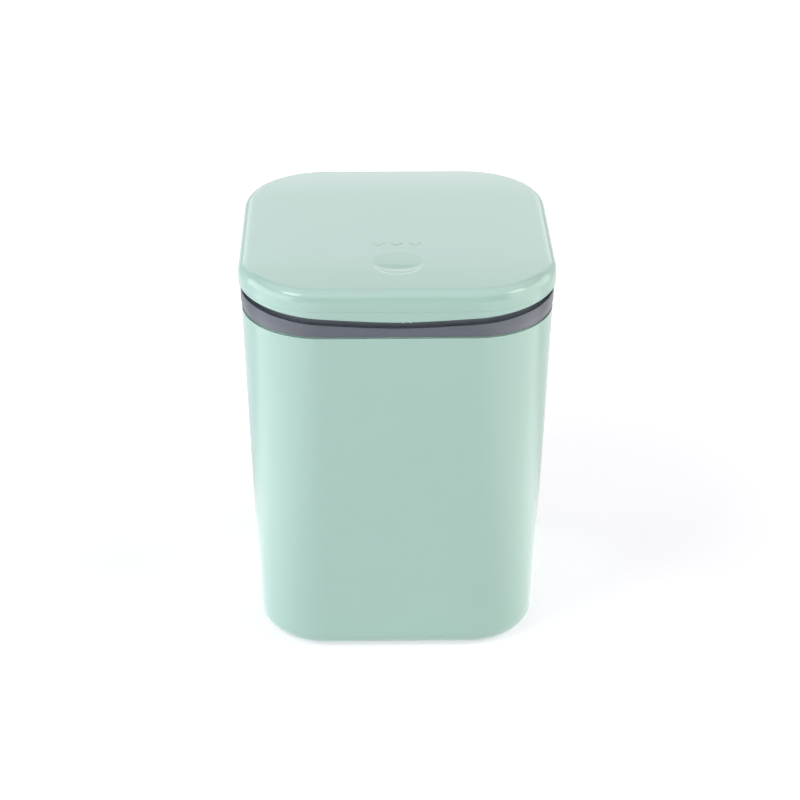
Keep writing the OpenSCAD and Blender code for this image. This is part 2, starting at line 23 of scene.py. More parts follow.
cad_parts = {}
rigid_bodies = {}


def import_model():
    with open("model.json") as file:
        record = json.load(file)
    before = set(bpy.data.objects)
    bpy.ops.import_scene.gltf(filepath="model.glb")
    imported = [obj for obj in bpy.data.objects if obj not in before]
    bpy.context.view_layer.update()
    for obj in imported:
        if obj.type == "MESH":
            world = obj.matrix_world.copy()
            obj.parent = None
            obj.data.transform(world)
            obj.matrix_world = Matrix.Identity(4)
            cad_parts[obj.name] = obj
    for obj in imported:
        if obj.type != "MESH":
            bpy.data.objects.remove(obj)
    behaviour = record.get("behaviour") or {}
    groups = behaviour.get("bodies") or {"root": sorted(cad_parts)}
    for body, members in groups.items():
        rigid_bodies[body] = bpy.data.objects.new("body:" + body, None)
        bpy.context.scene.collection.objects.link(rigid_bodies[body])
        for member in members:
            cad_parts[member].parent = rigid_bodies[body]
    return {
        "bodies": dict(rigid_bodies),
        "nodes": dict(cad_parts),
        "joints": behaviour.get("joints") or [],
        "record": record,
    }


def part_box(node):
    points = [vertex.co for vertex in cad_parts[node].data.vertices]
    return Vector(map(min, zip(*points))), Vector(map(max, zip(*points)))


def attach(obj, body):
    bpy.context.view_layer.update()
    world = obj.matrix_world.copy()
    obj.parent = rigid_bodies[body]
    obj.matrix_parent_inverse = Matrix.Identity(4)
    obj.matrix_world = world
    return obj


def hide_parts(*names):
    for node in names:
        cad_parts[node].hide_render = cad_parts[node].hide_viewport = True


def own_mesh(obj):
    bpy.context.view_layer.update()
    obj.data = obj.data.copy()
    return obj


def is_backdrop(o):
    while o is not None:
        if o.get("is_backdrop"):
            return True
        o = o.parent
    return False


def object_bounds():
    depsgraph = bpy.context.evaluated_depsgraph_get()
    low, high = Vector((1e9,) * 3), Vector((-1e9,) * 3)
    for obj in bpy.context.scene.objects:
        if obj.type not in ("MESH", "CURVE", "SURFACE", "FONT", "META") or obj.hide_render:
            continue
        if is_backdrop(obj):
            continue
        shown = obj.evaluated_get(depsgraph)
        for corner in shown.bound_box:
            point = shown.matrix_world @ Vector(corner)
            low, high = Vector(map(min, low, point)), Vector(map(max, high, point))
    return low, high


MM = 0.001
log = logging.getLogger("push_top_bin")

Height = Callable[["Corner", float, float], float]
Relief = Callable[[float, float], float]
Spot = tuple[float, float]
Colour = tuple[float, ...]
Tree = bpy.types.NodeTree
Socket = bpy.types.NodeSocket


class Body(Enum):
    """The moving bodies of the CAD model that new pieces ride on."""

    TUB = "tub"
    COLLAR = "collar"
    CAM = "cam"
    HINGE_ROD = "hinge_rod"
    LID = "lid"


class Slot(Enum):
    """The record's material slots, passed along with the new pieces."""

    MINT = "mint_plastic"
    GREY = "grey_plastic"
    SPRING = "spring_steel"
    SCREW = "screw_steel"
    PAD = "soft_pad"


class Side(Enum):
    """Left and right of the bin, seen from its front."""

    LEFT = -1
    RIGHT = 1


# Colours and nodes


def linear(hex_code: str) -> Colour:
    """Turns an sRGB hex colour into Blender's linear RGBA.

    Args:
        hex_code: six hex digits with or without a leading hash.

    Returns:
        Linear red, green, blue and an alpha of 1.
    """
    digits = hex_code.lstrip("#")
    channels = [int(digits[i : i + 2], 16) / 255 for i in (0, 2, 4)]
    return tuple(c / 12.92 if c <= 0.04045 else ((c + 0.055) / 1.055) ** 2.4 for c in channels) + (1.0,)


def scaled(colour: Colour, share: float) -> Colour:
    """A linear colour times a share, with an alpha of 1."""
    return tuple(c * share for c in colour[:3]) + (1.0,)


def add_node(tree: Tree, kind: str, settings: dict | None = None, **inputs) -> bpy.types.Node:
    """Adds one shader node with its settings, values and links.

    Args:
        tree: the node tree that gets the node.
        kind: the node's type name in Blender.
        settings: attributes of the node, such as its operation.
        inputs: input values by socket name, with underscores for spaces; an output socket is linked,
            and in_0, in_1 and so on name sockets by their place.

    Returns:
        The new node.
    """
    node = tree.nodes.new(kind)
    for name, value in (settings or {}).items():
        setattr(node, name, value)
    for name, value in inputs.items():
        key = int(name[3:]) if name.startswith("in_") else name.replace("_", " ")
        socket = node.inputs[key]
        if isinstance(value, Socket):
            tree.links.new(value, socket)
        else:
            socket.default_value = value
    return node


def ramp(
    tree: Tree, value: Socket, span: Spot, ends: tuple[float | Socket, float | Socket], smooth: bool = False
) -> Socket:
    """Maps a value's span to new ends, and holds them outside it.

    Args:
        tree: the node tree that gets the node.
        value: what is mapped.
        span: the values at which the ramp starts and ends.
        ends: what it gives there.
        smooth: whether the ramp starts and ends level.

    Returns:
        The result's socket.
    """
    settings = {"interpolation_type": "SMOOTHSTEP"} if smooth else {}
    return add_node(
        tree, "ShaderNodeMapRange", settings, Value=value, From_Min=span[0], From_Max=span[1],
        To_Min=ends[0], To_Max=ends[1],
    ).outputs["Result"]


def maths(tree: Tree, operation: str, *values: float | Socket) -> Socket:
    """Adds a maths node, and gives its result."""
    inputs = {f"in_{i}": value for i, value in enumerate(values)}
    return add_node(tree, "ShaderNodeMath", {"operation": operation}, **inputs).outputs[0]


def mixed(tree: Tree, share: Socket, first: Colour | Socket, second: Colour | Socket) -> Socket:
    """Mixes two colours by a share of the second."""
    node = add_node(tree, "ShaderNodeMix", {"data_type": "RGBA"}, in_0=share, in_6=first, in_7=second)
    return node.outputs[2]


def noise(tree: Tree, place: Socket, spacing_mm: float, detail: float, **more) -> Socket:
    """Adds noise whose features lie spacing_mm apart."""
    scale = 1.0 / (spacing_mm * MM)
    node = add_node(tree, "ShaderNodeTexNoise", Vector=place, Scale=scale, Detail=detail, **more)
    return node.outputs["Fac"]


def bump(tree: Tree, height: Socket, depth_mm: float, **more) -> Socket:
    """Turns a height of 0 to 1 into a bumped normal, depth_mm deep."""
    node = add_node(tree, "ShaderNodeBump", Strength=1.0, Distance=depth_mm * MM, Height=height, **more)
    return node.outputs["Normal"]


def new_material(name: str) -> tuple[bpy.types.Material, Tree, Socket]:
    """Makes a node material that has no shader yet.

    Args:
        name: the material's name.

    Returns:
        The material, its node tree, and where a point is on the object, in metres.
    """
    material = bpy.data.materials.new(name)
    material.use_nodes = True
    tree = material.node_tree
    tree.nodes.clear()
    return material, tree, add_node(tree, "ShaderNodeTexCoord").outputs["Object"]


# Finishes


@dataclass(frozen=True)
class MouldedPlastic:
    """An injection-moulded plastic: its colour, its gloss and the texture that the steel tool leaves.

    colour and fleck are sRGB hex. The wave is the slight unevenness of a shrunk wall, the grain is
    the tool's own texture, the flow is how far apart the colour's faint marks lie, and rub is where
    hands and cloths have dulled the gloss.
    """

    name: str
    colour: str
    roughness: float
    ior: float
    wave_mm: float
    wave_depth_mm: float
    grain_mm: float
    grain_depth_mm: float
    mottle: float = 0.03
    rub: float = 0.05
    rub_mm: float = 18.0
    flow_mm: float = 38.0
    fleck: str = ""
    fleck_cell_mm: float = 21.0
    fleck_r_mm: float = 0.3
    fleck_share: float = 0.12

    def build(self) -> bpy.types.Material:
        """Builds the node material.

        Returns:
            The material.
        """
        material, tree, place = new_material(self.name)
        rub = noise(tree, place, self.rub_mm, 3.0)
        shader = add_node(
            tree, "ShaderNodeBsdfPrincipled", Base_Color=self._colour(tree, place), IOR=self.ior,
            Roughness=ramp(tree, rub, (0.3, 0.75), (self.roughness, self.roughness + self.rub)),
            Normal=self._normal(tree, place),
        )
        add_node(tree, "ShaderNodeOutputMaterial", Surface=shader.outputs["BSDF"])
        return material

    def _colour(self, tree: Tree, place: Socket) -> Socket:
        """The plastic's colour with its faint flow marks and, if it has them, dark specks.

        Args:
            tree: the material's nodes.
            place: where a point is, in metres.

        Returns:
            The colour's socket.
        """
        base = linear(self.colour)
        flow = noise(tree, place, self.flow_mm, 2.0, Distortion=0.6)
        plain = mixed(tree, flow, scaled(base, 1 - self.mottle), scaled(base, 1 + self.mottle))
        if not self.fleck:
            return plain
        cells = add_node(
            tree, "ShaderNodeTexVoronoi", Vector=place, Scale=1.0 / (self.fleck_cell_mm * MM), Randomness=1.0,
        )
        radius = self.fleck_r_mm / self.fleck_cell_mm
        near = ramp(tree, cells.outputs["Distance"], (radius * 0.6, radius), (1.0, 0.0))
        pick = add_node(tree, "ShaderNodeSeparateColor", Color=cells.outputs["Color"]).outputs["Red"]
        speck = maths(tree, "MULTIPLY", near, maths(tree, "LESS_THAN", pick, self.fleck_share))
        return mixed(tree, speck, plain, linear(self.fleck))

    def _normal(self, tree: Tree, place: Socket) -> Socket:
        """The wall's long waves and the tool's fine grain as one bumped normal.

        Args:
            tree: the material's nodes.
            place: where a point is, in metres.

        Returns:
            The normal's socket.
        """
        waved = bump(tree, noise(tree, place, self.wave_mm, 1.0), self.wave_depth_mm)
        grain = noise(tree, place, self.grain_mm, 2.0, Roughness=0.6)
        return bump(tree, grain, self.grain_depth_mm, Normal=waved)


@dataclass(frozen=True)
class DrawnSteel:
    """Steel wire, rod or plated fasteners: bright metal with fine lines and a cloudy gloss.

    colour is sRGB hex, line_mm the spacing of the die's or the tumbling drum's marks, and dull how
    much of the colour is left where it is cloudiest.
    """

    name: str
    colour: str
    roughness: float
    cloud: float
    line_mm: float
    line_depth_mm: float
    cloud_mm: float = 2.4
    dull: float = 0.82

    def build(self) -> bpy.types.Material:
        """Builds the node material.

        Returns:
            The material.
        """
        material, tree, place = new_material(self.name)
        lines = noise(tree, place, self.line_mm, 3.0, Roughness=0.65)
        cloud = noise(tree, place, self.cloud_mm, 2.0)
        base = linear(self.colour)
        shader = add_node(
            tree, "ShaderNodeBsdfPrincipled", Base_Color=mixed(tree, cloud, base, scaled(base, self.dull)),
            Metallic=1.0, Normal=bump(tree, lines, self.line_depth_mm),
            Roughness=ramp(tree, cloud, (0.3, 0.7), (self.roughness, self.roughness + self.cloud)),
        )
        add_node(tree, "ShaderNodeOutputMaterial", Surface=shader.outputs["BSDF"])
        return material


@dataclass(frozen=True)
class SoftElastomer:
    """Soft clear thermoplastic elastomer: cloudy, a little light passes under its satin skin.

    colour is sRGB hex, depth_mm how far light goes under the skin, and cloudy how much of the
    colour is left in the skin's darker patches.
    """

    name: str
    colour: str
    roughness: float
    depth_mm: float
    rub: float = 0.15
    skin_mm: float = 0.7
    skin_depth_mm: float = 0.01
    cloudy: float = 0.92
    ior: float = 1.5
    glow: float = 0.35

    def build(self) -> bpy.types.Material:
        """Builds the node material.

        Returns:
            The material.
        """
        material, tree, place = new_material(self.name)
        skin = noise(tree, place, self.skin_mm, 2.0)
        base = linear(self.colour)
        shader = add_node(
            tree, "ShaderNodeBsdfPrincipled", Base_Color=mixed(tree, skin, base, scaled(base, self.cloudy)),
            Roughness=ramp(tree, skin, (0.0, 1.0), (self.roughness, self.roughness + self.rub)),
            IOR=self.ior, Normal=bump(tree, skin, self.skin_depth_mm), Subsurface_Weight=self.glow,
            Subsurface_Radius=(1.0, 1.0, 0.95), Subsurface_Scale=self.depth_mm * MM,
        )
        add_node(tree, "ShaderNodeOutputMaterial", Surface=shader.outputs["BSDF"])
        return material


@dataclass(frozen=True)
class Finishes:
    """Every finish on the bin, by what it is made of and how its surface was made."""

    # Polished ABS: a wet, even gloss in pale green, soft-edged highlights and a few dark specks
    mint: MouldedPlastic = MouldedPlastic(
        "mint_abs_polished", "#AACEC1", 0.1, 1.54, 22.0, 0.012, 2.2, 0.0006, mottle=0.012, rub=0.05,
        fleck="#5E716B",
    )
    # The same ABS off the tool's unpolished core: the same green with a duller sheen
    mint_core: MouldedPlastic = MouldedPlastic(
        "mint_abs_core_side", "#ACCEC1", 0.28, 1.54, 16.0, 0.015, 0.8, 0.002, mottle=0.015, rub=0.08,
    )
    # Spark-eroded polypropylene: a cool grey with a broad satin sheen
    grey: MouldedPlastic = MouldedPlastic(
        "grey_pp_satin", "#50565F", 0.28, 1.54, 15.0, 0.01, 0.45, 0.002, mottle=0.03, rub=0.06,
    )
    # The collar's grey made paler and matt in the channel beside the neck: the paler colour is painted light,
    # standing in for light that reaches that shaded gap
    grey_channel_painted_light: MouldedPlastic = MouldedPlastic(
        "grey_pp_channel_painted_light", "#858B94", 0.6, 1.49, 15.0, 0.01, 0.6, 0.006, mottle=0.04, rub=0.1,
    )
    # Acetal of the latch: charcoal, waxy and matt
    dark: MouldedPlastic = MouldedPlastic(
        "charcoal_acetal_matt", "#3C3E43", 0.42, 1.48, 8.0, 0.01, 0.35, 0.002, mottle=0.06, rub=0.1,
        rub_mm=5.0,
    )
    # Hard-drawn music wire and ground rod: bright, with fine die lines
    spring: DrawnSteel = DrawnSteel("music_wire_steel", "#C9CACC", 0.22, 0.12, 0.12, 0.0015)
    # Zinc-plated screws: paler, softer and a little cloudy
    screw: DrawnSteel = DrawnSteel("zinc_plated_steel", "#D3D4D2", 0.3, 0.16, 0.3, 0.002)
    # Clear elastomer of the pads: milky, with a soft satin skin
    pad: SoftElastomer = SoftElastomer("clear_tpe", "#C9CFC8", 0.35, 0.8)


class Dresser:
    """Keeps one material for each finish, and gives pieces their material and body."""

    def __init__(self, finishes: Finishes) -> None:
        """Builds each finish once.

        Args:
            finishes: the finishes of the bin.
        """
        self.mint = finishes.mint.build()
        self.mint_core = finishes.mint_core.build()
        self.grey = finishes.grey.build()
        self.grey_channel_painted_light = finishes.grey_channel_painted_light.build()
        self.dark = finishes.dark.build()
        self.spring = finishes.spring.build()
        self.screw = finishes.screw.build()
        self.pad = finishes.pad.build()

    def dress(self, piece: bpy.types.Object, material: bpy.types.Material, body: Body, slot: Slot) -> None:
        """Gives a new piece its look and the body that it rides on.

        Args:
            piece: the new object; it keeps its own materials if it has them.
            material: its material.
            body: the CAD body that it moves with.
            slot: the record's slot for its finish; not used.
        """
        if not piece.data.materials:
            piece.data.materials.append(material)
        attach(piece, body.value)
        log.info("piece %s on %s, %d faces", piece.name, body.value, len(piece.data.polygons))

    def keep(self, node: bpy.types.Object, material: bpy.types.Material, edge_mm: float) -> None:
        """Keeps a CAD node, with a finish and softened edges.

        Args:
            node: the CAD node's object.
            material: its material.
            edge_mm: rounding of its sharp edges.
        """
        node.data.materials.clear()
        node.data.materials.append(material)
        weld = node.modifiers.new("weld", "WELD")
        weld.merge_threshold = 0.002 * MM
        bevel = node.modifiers.new("soft_edges", "BEVEL")
        bevel.width = edge_mm * MM
        bevel.segments = 2
        bevel.limit_method = "ANGLE"
        bevel.angle_limit = math.radians(40)
        bevel.harden_normals = True
        log.info("CAD node %s kept with %s", node.name, material.name)


def two_finishes(
    piece: bpy.types.Object, finishes: Sequence[bpy.types.Material], other: Callable[[Vector], bool]
) -> None:
    """Gives a moulding two finishes, face by face.

    Args:
        piece: the moulding's object.
        finishes: its first and second material.
        other: whether the face whose middle is at a place, in millimetres, gets the second.
    """
    for finish in finishes:
        piece.data.materials.append(finish)
    for face in piece.data.polygons:
        face.material_index = int(other(face.center / MM))


# Mesh building


@dataclass(frozen=True)
class Corner:
    """A corner of a moulded profile.

    It is so far out and so high, has its own rounding, and takes a share of the dipped edge's rise.
    """

    out: float
    up: float
    radius: float = 0.0
    dip: float = 0.0


def between(a: Corner, b: Corner, share: float) -> Corner:
    """The point a share of the way from a to b."""
    out, up, dip = (x + (y - x) * share for x, y in ((a.out, b.out), (a.up, b.up), (a.dip, b.dip)))
    return Corner(out, up, 0.0, dip)


def rounded(corners: Sequence[Corner], closed: bool, step_deg: float = 12.0) -> list[Corner]:
    """Rounds a profile's corners with arcs.

    Args:
        corners: the profile's corners in order.
        closed: whether the last corner joins the first.
        step_deg: the most that one step of an arc turns.

    Returns:
        The profile's points.
    """
    points: list[Corner] = []
    for i, here in enumerate(corners):
        if here.radius <= 0 or (not closed and i in (0, len(corners) - 1)):
            points.append(here)
            continue
        before, after = corners[i - 1], corners[(i + 1) % len(corners)]
        tip = Vector((here.out, here.up))
        back = Vector((before.out, before.up)) - tip
        on = Vector((after.out, after.up)) - tip
        turn = math.pi - back.angle(on)
        reach = min(here.radius * math.tan(turn / 2), 0.49 * back.length, 0.49 * on.length)
        radius = reach / math.tan(turn / 2)
        back.normalize()
        on.normalize()
        centre = tip + (back + on).normalized() * (radius / math.cos(turn / 2))
        first, last = tip + back * reach - centre, tip + on * reach - centre
        steps = max(2, math.ceil(math.degrees(turn) / step_deg))
        for s in range(steps + 1):
            share = s / steps
            spoke = (first * math.sin((1 - share) * turn) + last * math.sin(share * turn)) / math.sin(turn)
            points.append(Corner(centre.x + spoke.x, centre.y + spoke.y, 0.0, here.dip))
    return points


def spaced(points: Sequence[Corner], closed: bool, guard: float = 0.8, longest: float = 9.0) -> list[Corner]:
    """Adds points along a profile's straight runs, close to their ends and no further apart than longest.

    Args:
        points: the profile's points.
        closed: whether the last point joins the first.
        guard: how far from a run's ends its first and last new points lie.
        longest: the longest gap left between two points.

    Returns:
        The profile with the new points.
    """
    result: list[Corner] = []
    count = len(points)
    for i, here in enumerate(points):
        result.append(here)
        if not closed and i == count - 1:
            break
        after = points[(i + 1) % count]
        length = math.hypot(after.out - here.out, after.up - here.up)
        if length < 3 * guard:
            continue
        inner = length - 2 * guard
        parts = max(1, math.ceil(inner / longest))
        for p in range(parts + 1):
            result.append(between(here, after, (guard + inner * p / parts) / length))
    return result


@dataclass(frozen=True)
class SquarePlan:
    """The bin's plan: a square with round corners, as columns that a profile is carried round.

    core is the distance from the middle to each corner's centre. breaks are places along the back,
    out to each side, where two columns stand close together so that an edge can step there.
    """

    core: float
    corner_steps: int = 24
    side_steps: int = 28
    breaks: tuple[float, ...] = ()
    step_w: float = 0.02

    def columns(self) -> list[tuple[float, float, float, float]]:
        """The columns in order, anticlockwise from the front of the right corner.

        Returns:
            Each column's centre x, centre y, and outward x and y.
        """
        found = []
        signs = ((1, -1), (1, 1), (-1, 1), (-1, -1))
        back = 1
        for i, (sx, sy) in enumerate(signs):
            start = math.radians(-90 + 90 * i)
            for s in range(self.corner_steps + 1):
                angle = start + math.radians(90) * s / self.corner_steps
                found.append((sx * self.core, sy * self.core, math.cos(angle), math.sin(angle)))
            nx, ny = signs[(i + 1) % len(signs)]
            places = [s / self.side_steps for s in range(1, self.side_steps)]
            if i == back:
                places = sorted(places + self._break_places())
            angle = start + math.radians(90)
            for share in places:
                x, y = self.core * (sx + (nx - sx) * share), self.core * (sy + (ny - sy) * share)
                found.append((x, y, math.cos(angle), math.sin(angle)))
        return found

    def _break_places(self) -> list[float]:
        """Shares of the way along the back side, from right to left, of the close pairs of columns."""
        half = self.step_w / 2
        edges = [side * x + d for x in self.breaks for side in (-1, 1) for d in (-half, half)]
        return [(self.core - x) / (2 * self.core) for x in edges]


class Shell:
    """A mesh under construction, in millimetres until it becomes an object."""

    def __init__(self) -> None:
        """Starts an empty mesh."""
        self.mesh = bmesh.new()
        self.normals: dict[bmesh.types.BMVert, Vector] = {}

    def loft(self, plan: SquarePlan, points: Sequence[Corner], height: Height, closed: bool) -> list[list]:
        """Carries a profile round the plan.

        Args:
            plan: the square path.
            points: the profile's points.
            height: gives a point's height at a place in plan.
            closed: whether the profile's last point joins its first.

        Returns:
            One ring of vertices for each profile point.
        """
        columns = plan.columns()
        rings = []
        for p in points:
            ring = []
            for cx, cy, dx, dy in columns:
                x, y = cx + p.out * dx, cy + p.out * dy
                ring.append(self.mesh.verts.new((x, y, height(p, x, y))))
            rings.append(ring)
        self._skin(rings, closed)
        return rings

    def _skin(self, rings: Sequence[Sequence], closed: bool) -> None:
        """Joins closed rings of vertices with quads.

        Args:
            rings: the rings in order, all with the same count.
            closed: whether the last ring joins the first.
        """
        pairs = list(zip(rings, rings[1:])) + ([(rings[-1], rings[0])] if closed else [])
        for low, high in pairs:
            for i in range(len(low)):
                k = (i + 1) % len(low)
                self.mesh.faces.new((low[i], low[k], high[k], high[i]))

    def fill(self, ring: Sequence, dots: Iterable[Spot], relief: Relief) -> None:
        """Fills a ring with a surface whose height is known everywhere, and keeps its true normals.

        Args:
            ring: the ring's vertices in order.
            dots: places inside the ring that get a vertex.
            relief: the surface's height at a place.
        """
        rim = [Vector((v.co.x, v.co.y)) for v in ring]
        spots = rim + [Vector(d) for d in dots]
        made, _, faces, origins, _, _ = delaunay_2d_cdt(spots, [], [list(range(len(rim)))], 1, 1e-4)
        verts = []
        for place, sources in zip(made, origins):
            known = [s for s in sources if s < len(rim)]
            if known:
                verts.append(ring[known[0]])
            else:
                verts.append(self.mesh.verts.new((place.x, place.y, relief(place.x, place.y))))
        nudge = 0.02
        for v in verts:
            x, y = v.co.x, v.co.y
            slope_x = (relief(x + nudge, y) - relief(x - nudge, y)) / (2 * nudge)
            slope_y = (relief(x, y + nudge) - relief(x, y - nudge)) / (2 * nudge)
            self.normals[v] = Vector((-slope_x, -slope_y, 1.0)).normalized()
        for face in faces:
            self.mesh.faces.new([verts[i] for i in face])

    def lathe(self, points: Sequence[Spot], at: Matrix, steps: int = 40) -> None:
        """Turns a profile of (radius, height) points about Z into a closed solid, then places it.

        Args:
            points: the profile, which starts and ends on the axis.
            at: where the solid's own frame lies.
            steps: steps round the axis.
        """
        tips = [self.mesh.verts.new(at @ Vector((0, 0, points[i][1]))) for i in (0, -1)]
        rings = []
        for radius, z in points[1:-1]:
            dots = circle(0, 0, radius, steps)
            rings.append([self.mesh.verts.new(at @ Vector((x, y, z))) for x, y in dots])
        self._skin(rings, False)
        for tip, ring in zip(tips, (rings[0], rings[-1])):
            for i in range(steps):
                self.mesh.faces.new((tip, ring[i], ring[(i + 1) % steps]))

    def prism(self, outline: Sequence[Spot], length: float, at: Matrix, bevel: float) -> None:
        """Extrudes an outline along Z, softens its edges and places it.

        Args:
            outline: the outline in its own XY plane.
            length: how far it is extruded, half to each side.
            at: where the prism's own frame lies.
            bevel: rounding of its edges.
        """
        part = bmesh.new()
        low = [part.verts.new((x, y, -length / 2)) for x, y in outline]
        high = [part.verts.new((x, y, length / 2)) for x, y in outline]
        part.faces.new(low)
        part.faces.new(high)
        for i in range(len(low)):
            k = (i + 1) % len(low)
            part.faces.new((low[i], low[k], high[k], high[i]))
        bmesh.ops.recalc_face_normals(part, faces=part.faces)
        sharp = [e for e in part.edges if e.calc_face_angle(0) > math.radians(35)]
        bmesh.ops.bevel(
            part, geom=sharp, offset=bevel, offset_type="OFFSET", segments=3, profile=0.5, affect="EDGES",
        )
        self.take(part, at)

    def take(self, part: bmesh.types.BMesh, at: Matrix) -> None:
        """Adds another mesh at a place, and frees it.

        Args:
            part: the mesh to add.
            at: where its own frame lies.
        """
        part.transform(at)
        holder = bpy.data.meshes.new("part")
        part.to_mesh(holder)
        part.free()
        self.mesh.from_mesh(holder)
        bpy.data.meshes.remove(holder)

    def tube(self, path: Sequence[Vector], radius: float, sides: int = 12) -> None:
        """Sweeps round wire along a path, with domed ends.

        Args:
            path: the wire's centre line.
            radius: the wire's radius.
            sides: sides round the wire.
        """
        last = len(path) - 1
        along = [(path[min(i + 1, last)] - path[max(i - 1, 0)]).normalized() for i in range(len(path))]
        side = along[0].orthogonal().normalized()
        rings = []
        for i, (spot, forward) in enumerate(zip(path, along)):
            side = (side - forward * side.dot(forward)).normalized()
            up = forward.cross(side)
            stations = [(0.0, 1.0)]
            dome = [(0.5, 0.85), (0.85, 0.45)]
            if i == 0:
                stations = [(-shift, share) for shift, share in reversed(dome)] + stations
            elif i == last:
                stations = stations + dome
            for shift, share in stations:
                middle = spot + forward * shift * radius * 0.6
                dots = circle(0, 0, radius * share, sides)
                rings.append([self.mesh.verts.new(middle + side * x + up * y) for x, y in dots])
        self._skin(rings, False)
        self.mesh.faces.new(rings[0])
        self.mesh.faces.new(rings[-1])

    def build(self, name: str, smooth_deg: float = 35.0) -> bpy.types.Object:
        """Turns the mesh into an object in metres, shaded smooth except over sharp edges.

        Args:
            name: the object's name.
            smooth_deg: edges that turn more than this stay sharp.

        Returns:
            The new object, linked to the scene.
        """
        bmesh.ops.remove_doubles(self.mesh, verts=self.mesh.verts, dist=1e-4)
        bmesh.ops.recalc_face_normals(self.mesh, faces=self.mesh.faces)
        self.mesh.verts.index_update()
        told = {v.index: n.copy() for v, n in self.normals.items() if v.is_valid}
        for f in self.mesh.faces:
            f.smooth = True
        bmesh.ops.scale(self.mesh, vec=(MM, MM, MM), verts=self.mesh.verts)
        data = bpy.data.meshes.new(name)
        self.mesh.to_mesh(data)
        self.mesh.free()
        data.set_sharp_from_angle(angle=math.radians(smooth_deg))
        if told:
            wanted = [tuple(n.vector) for n in data.corner_normals]
            for polygon in data.polygons:
                for loop in polygon.loop_indices:
                    normal = told.get(data.loops[loop].vertex_index)
                    if normal is not None:
                        wanted[loop] = tuple(normal if normal.dot(polygon.normal) > 0 else -normal)
            data.normals_split_custom_set(wanted)
        piece = bpy.data.objects.new(name, data)
        bpy.context.scene.collection.objects.link(piece)
        return piece


def in_mm(box: Sequence[Vector]) -> tuple[Vector, Vector]:
    """A box's lowest and highest corner, turned from metres into millimetres."""
    low, high = (Vector(corner) / MM for corner in box)
    return low, high


def smooth_step(value: float, low: float, high: float) -> float:
    """Runs from 0 at low to 1 at high with level ends."""
    share = min(1.0, max(0.0, (value - low) / (high - low)))
    return share * share * (3 - 2 * share)


def soft_round(distance: float, edge: float, soft: float) -> float:
    """1 inside a round and 0 outside it, with a wall that runs from soft inside its edge to soft outside."""
    return 1 - smooth_step(distance, edge - soft, edge + soft)


def lattice(reach: float, gap: float, middle_y: float = 0.0) -> list[Spot]:
    """Places in a square, in rows of triangles a gap apart.

    Args:
        reach: half of the square's side.
        gap: distance between neighbours.
        middle_y: y of the square's middle; its x is 0.

    Returns:
        The places.
    """
    found = []
    row = 0
    y = middle_y - reach
    while y <= middle_y + reach:
        x = -reach + (gap / 2 if row % 2 else 0)
        while x <= reach:
            found.append((x, y))
            x += gap
        y += gap * 0.866
        row += 1
    return found


def arc(radius: float, start_deg: float, end_deg: float, steps: int, at: Spot = (0.0, 0.0)) -> list[Spot]:
    """Places along an arc, with both its ends.

    Args:
        radius: the arc's radius.
        start_deg: angle of its first place.
        end_deg: angle of its last place.
        steps: steps from first to last.
        at: the arc's centre.

    Returns:
        The places.
    """
    angles = (math.radians(start_deg + (end_deg - start_deg) * i / steps) for i in range(steps + 1))
    return [(at[0] + radius * math.cos(a), at[1] + radius * math.sin(a)) for a in angles]


def circle(cx: float, cy: float, radius: float, steps: int) -> list[Spot]:
    """Places round a circle, without a second one where it closes."""
    return arc(radius, 0, 360, steps, (cx, cy))[:-1]


def axis_frame(place: Vector, along: Vector) -> Matrix:
    """A frame at a place whose Z runs along a direction.

    Args:
        place: the frame's origin.
        along: the direction of its Z.

    Returns:
        The frame's matrix.
    """
    return Matrix.Translation(place) @ along.to_track_quat("Z", "Y").to_matrix().to_4x4()


# The bin's driving sizes


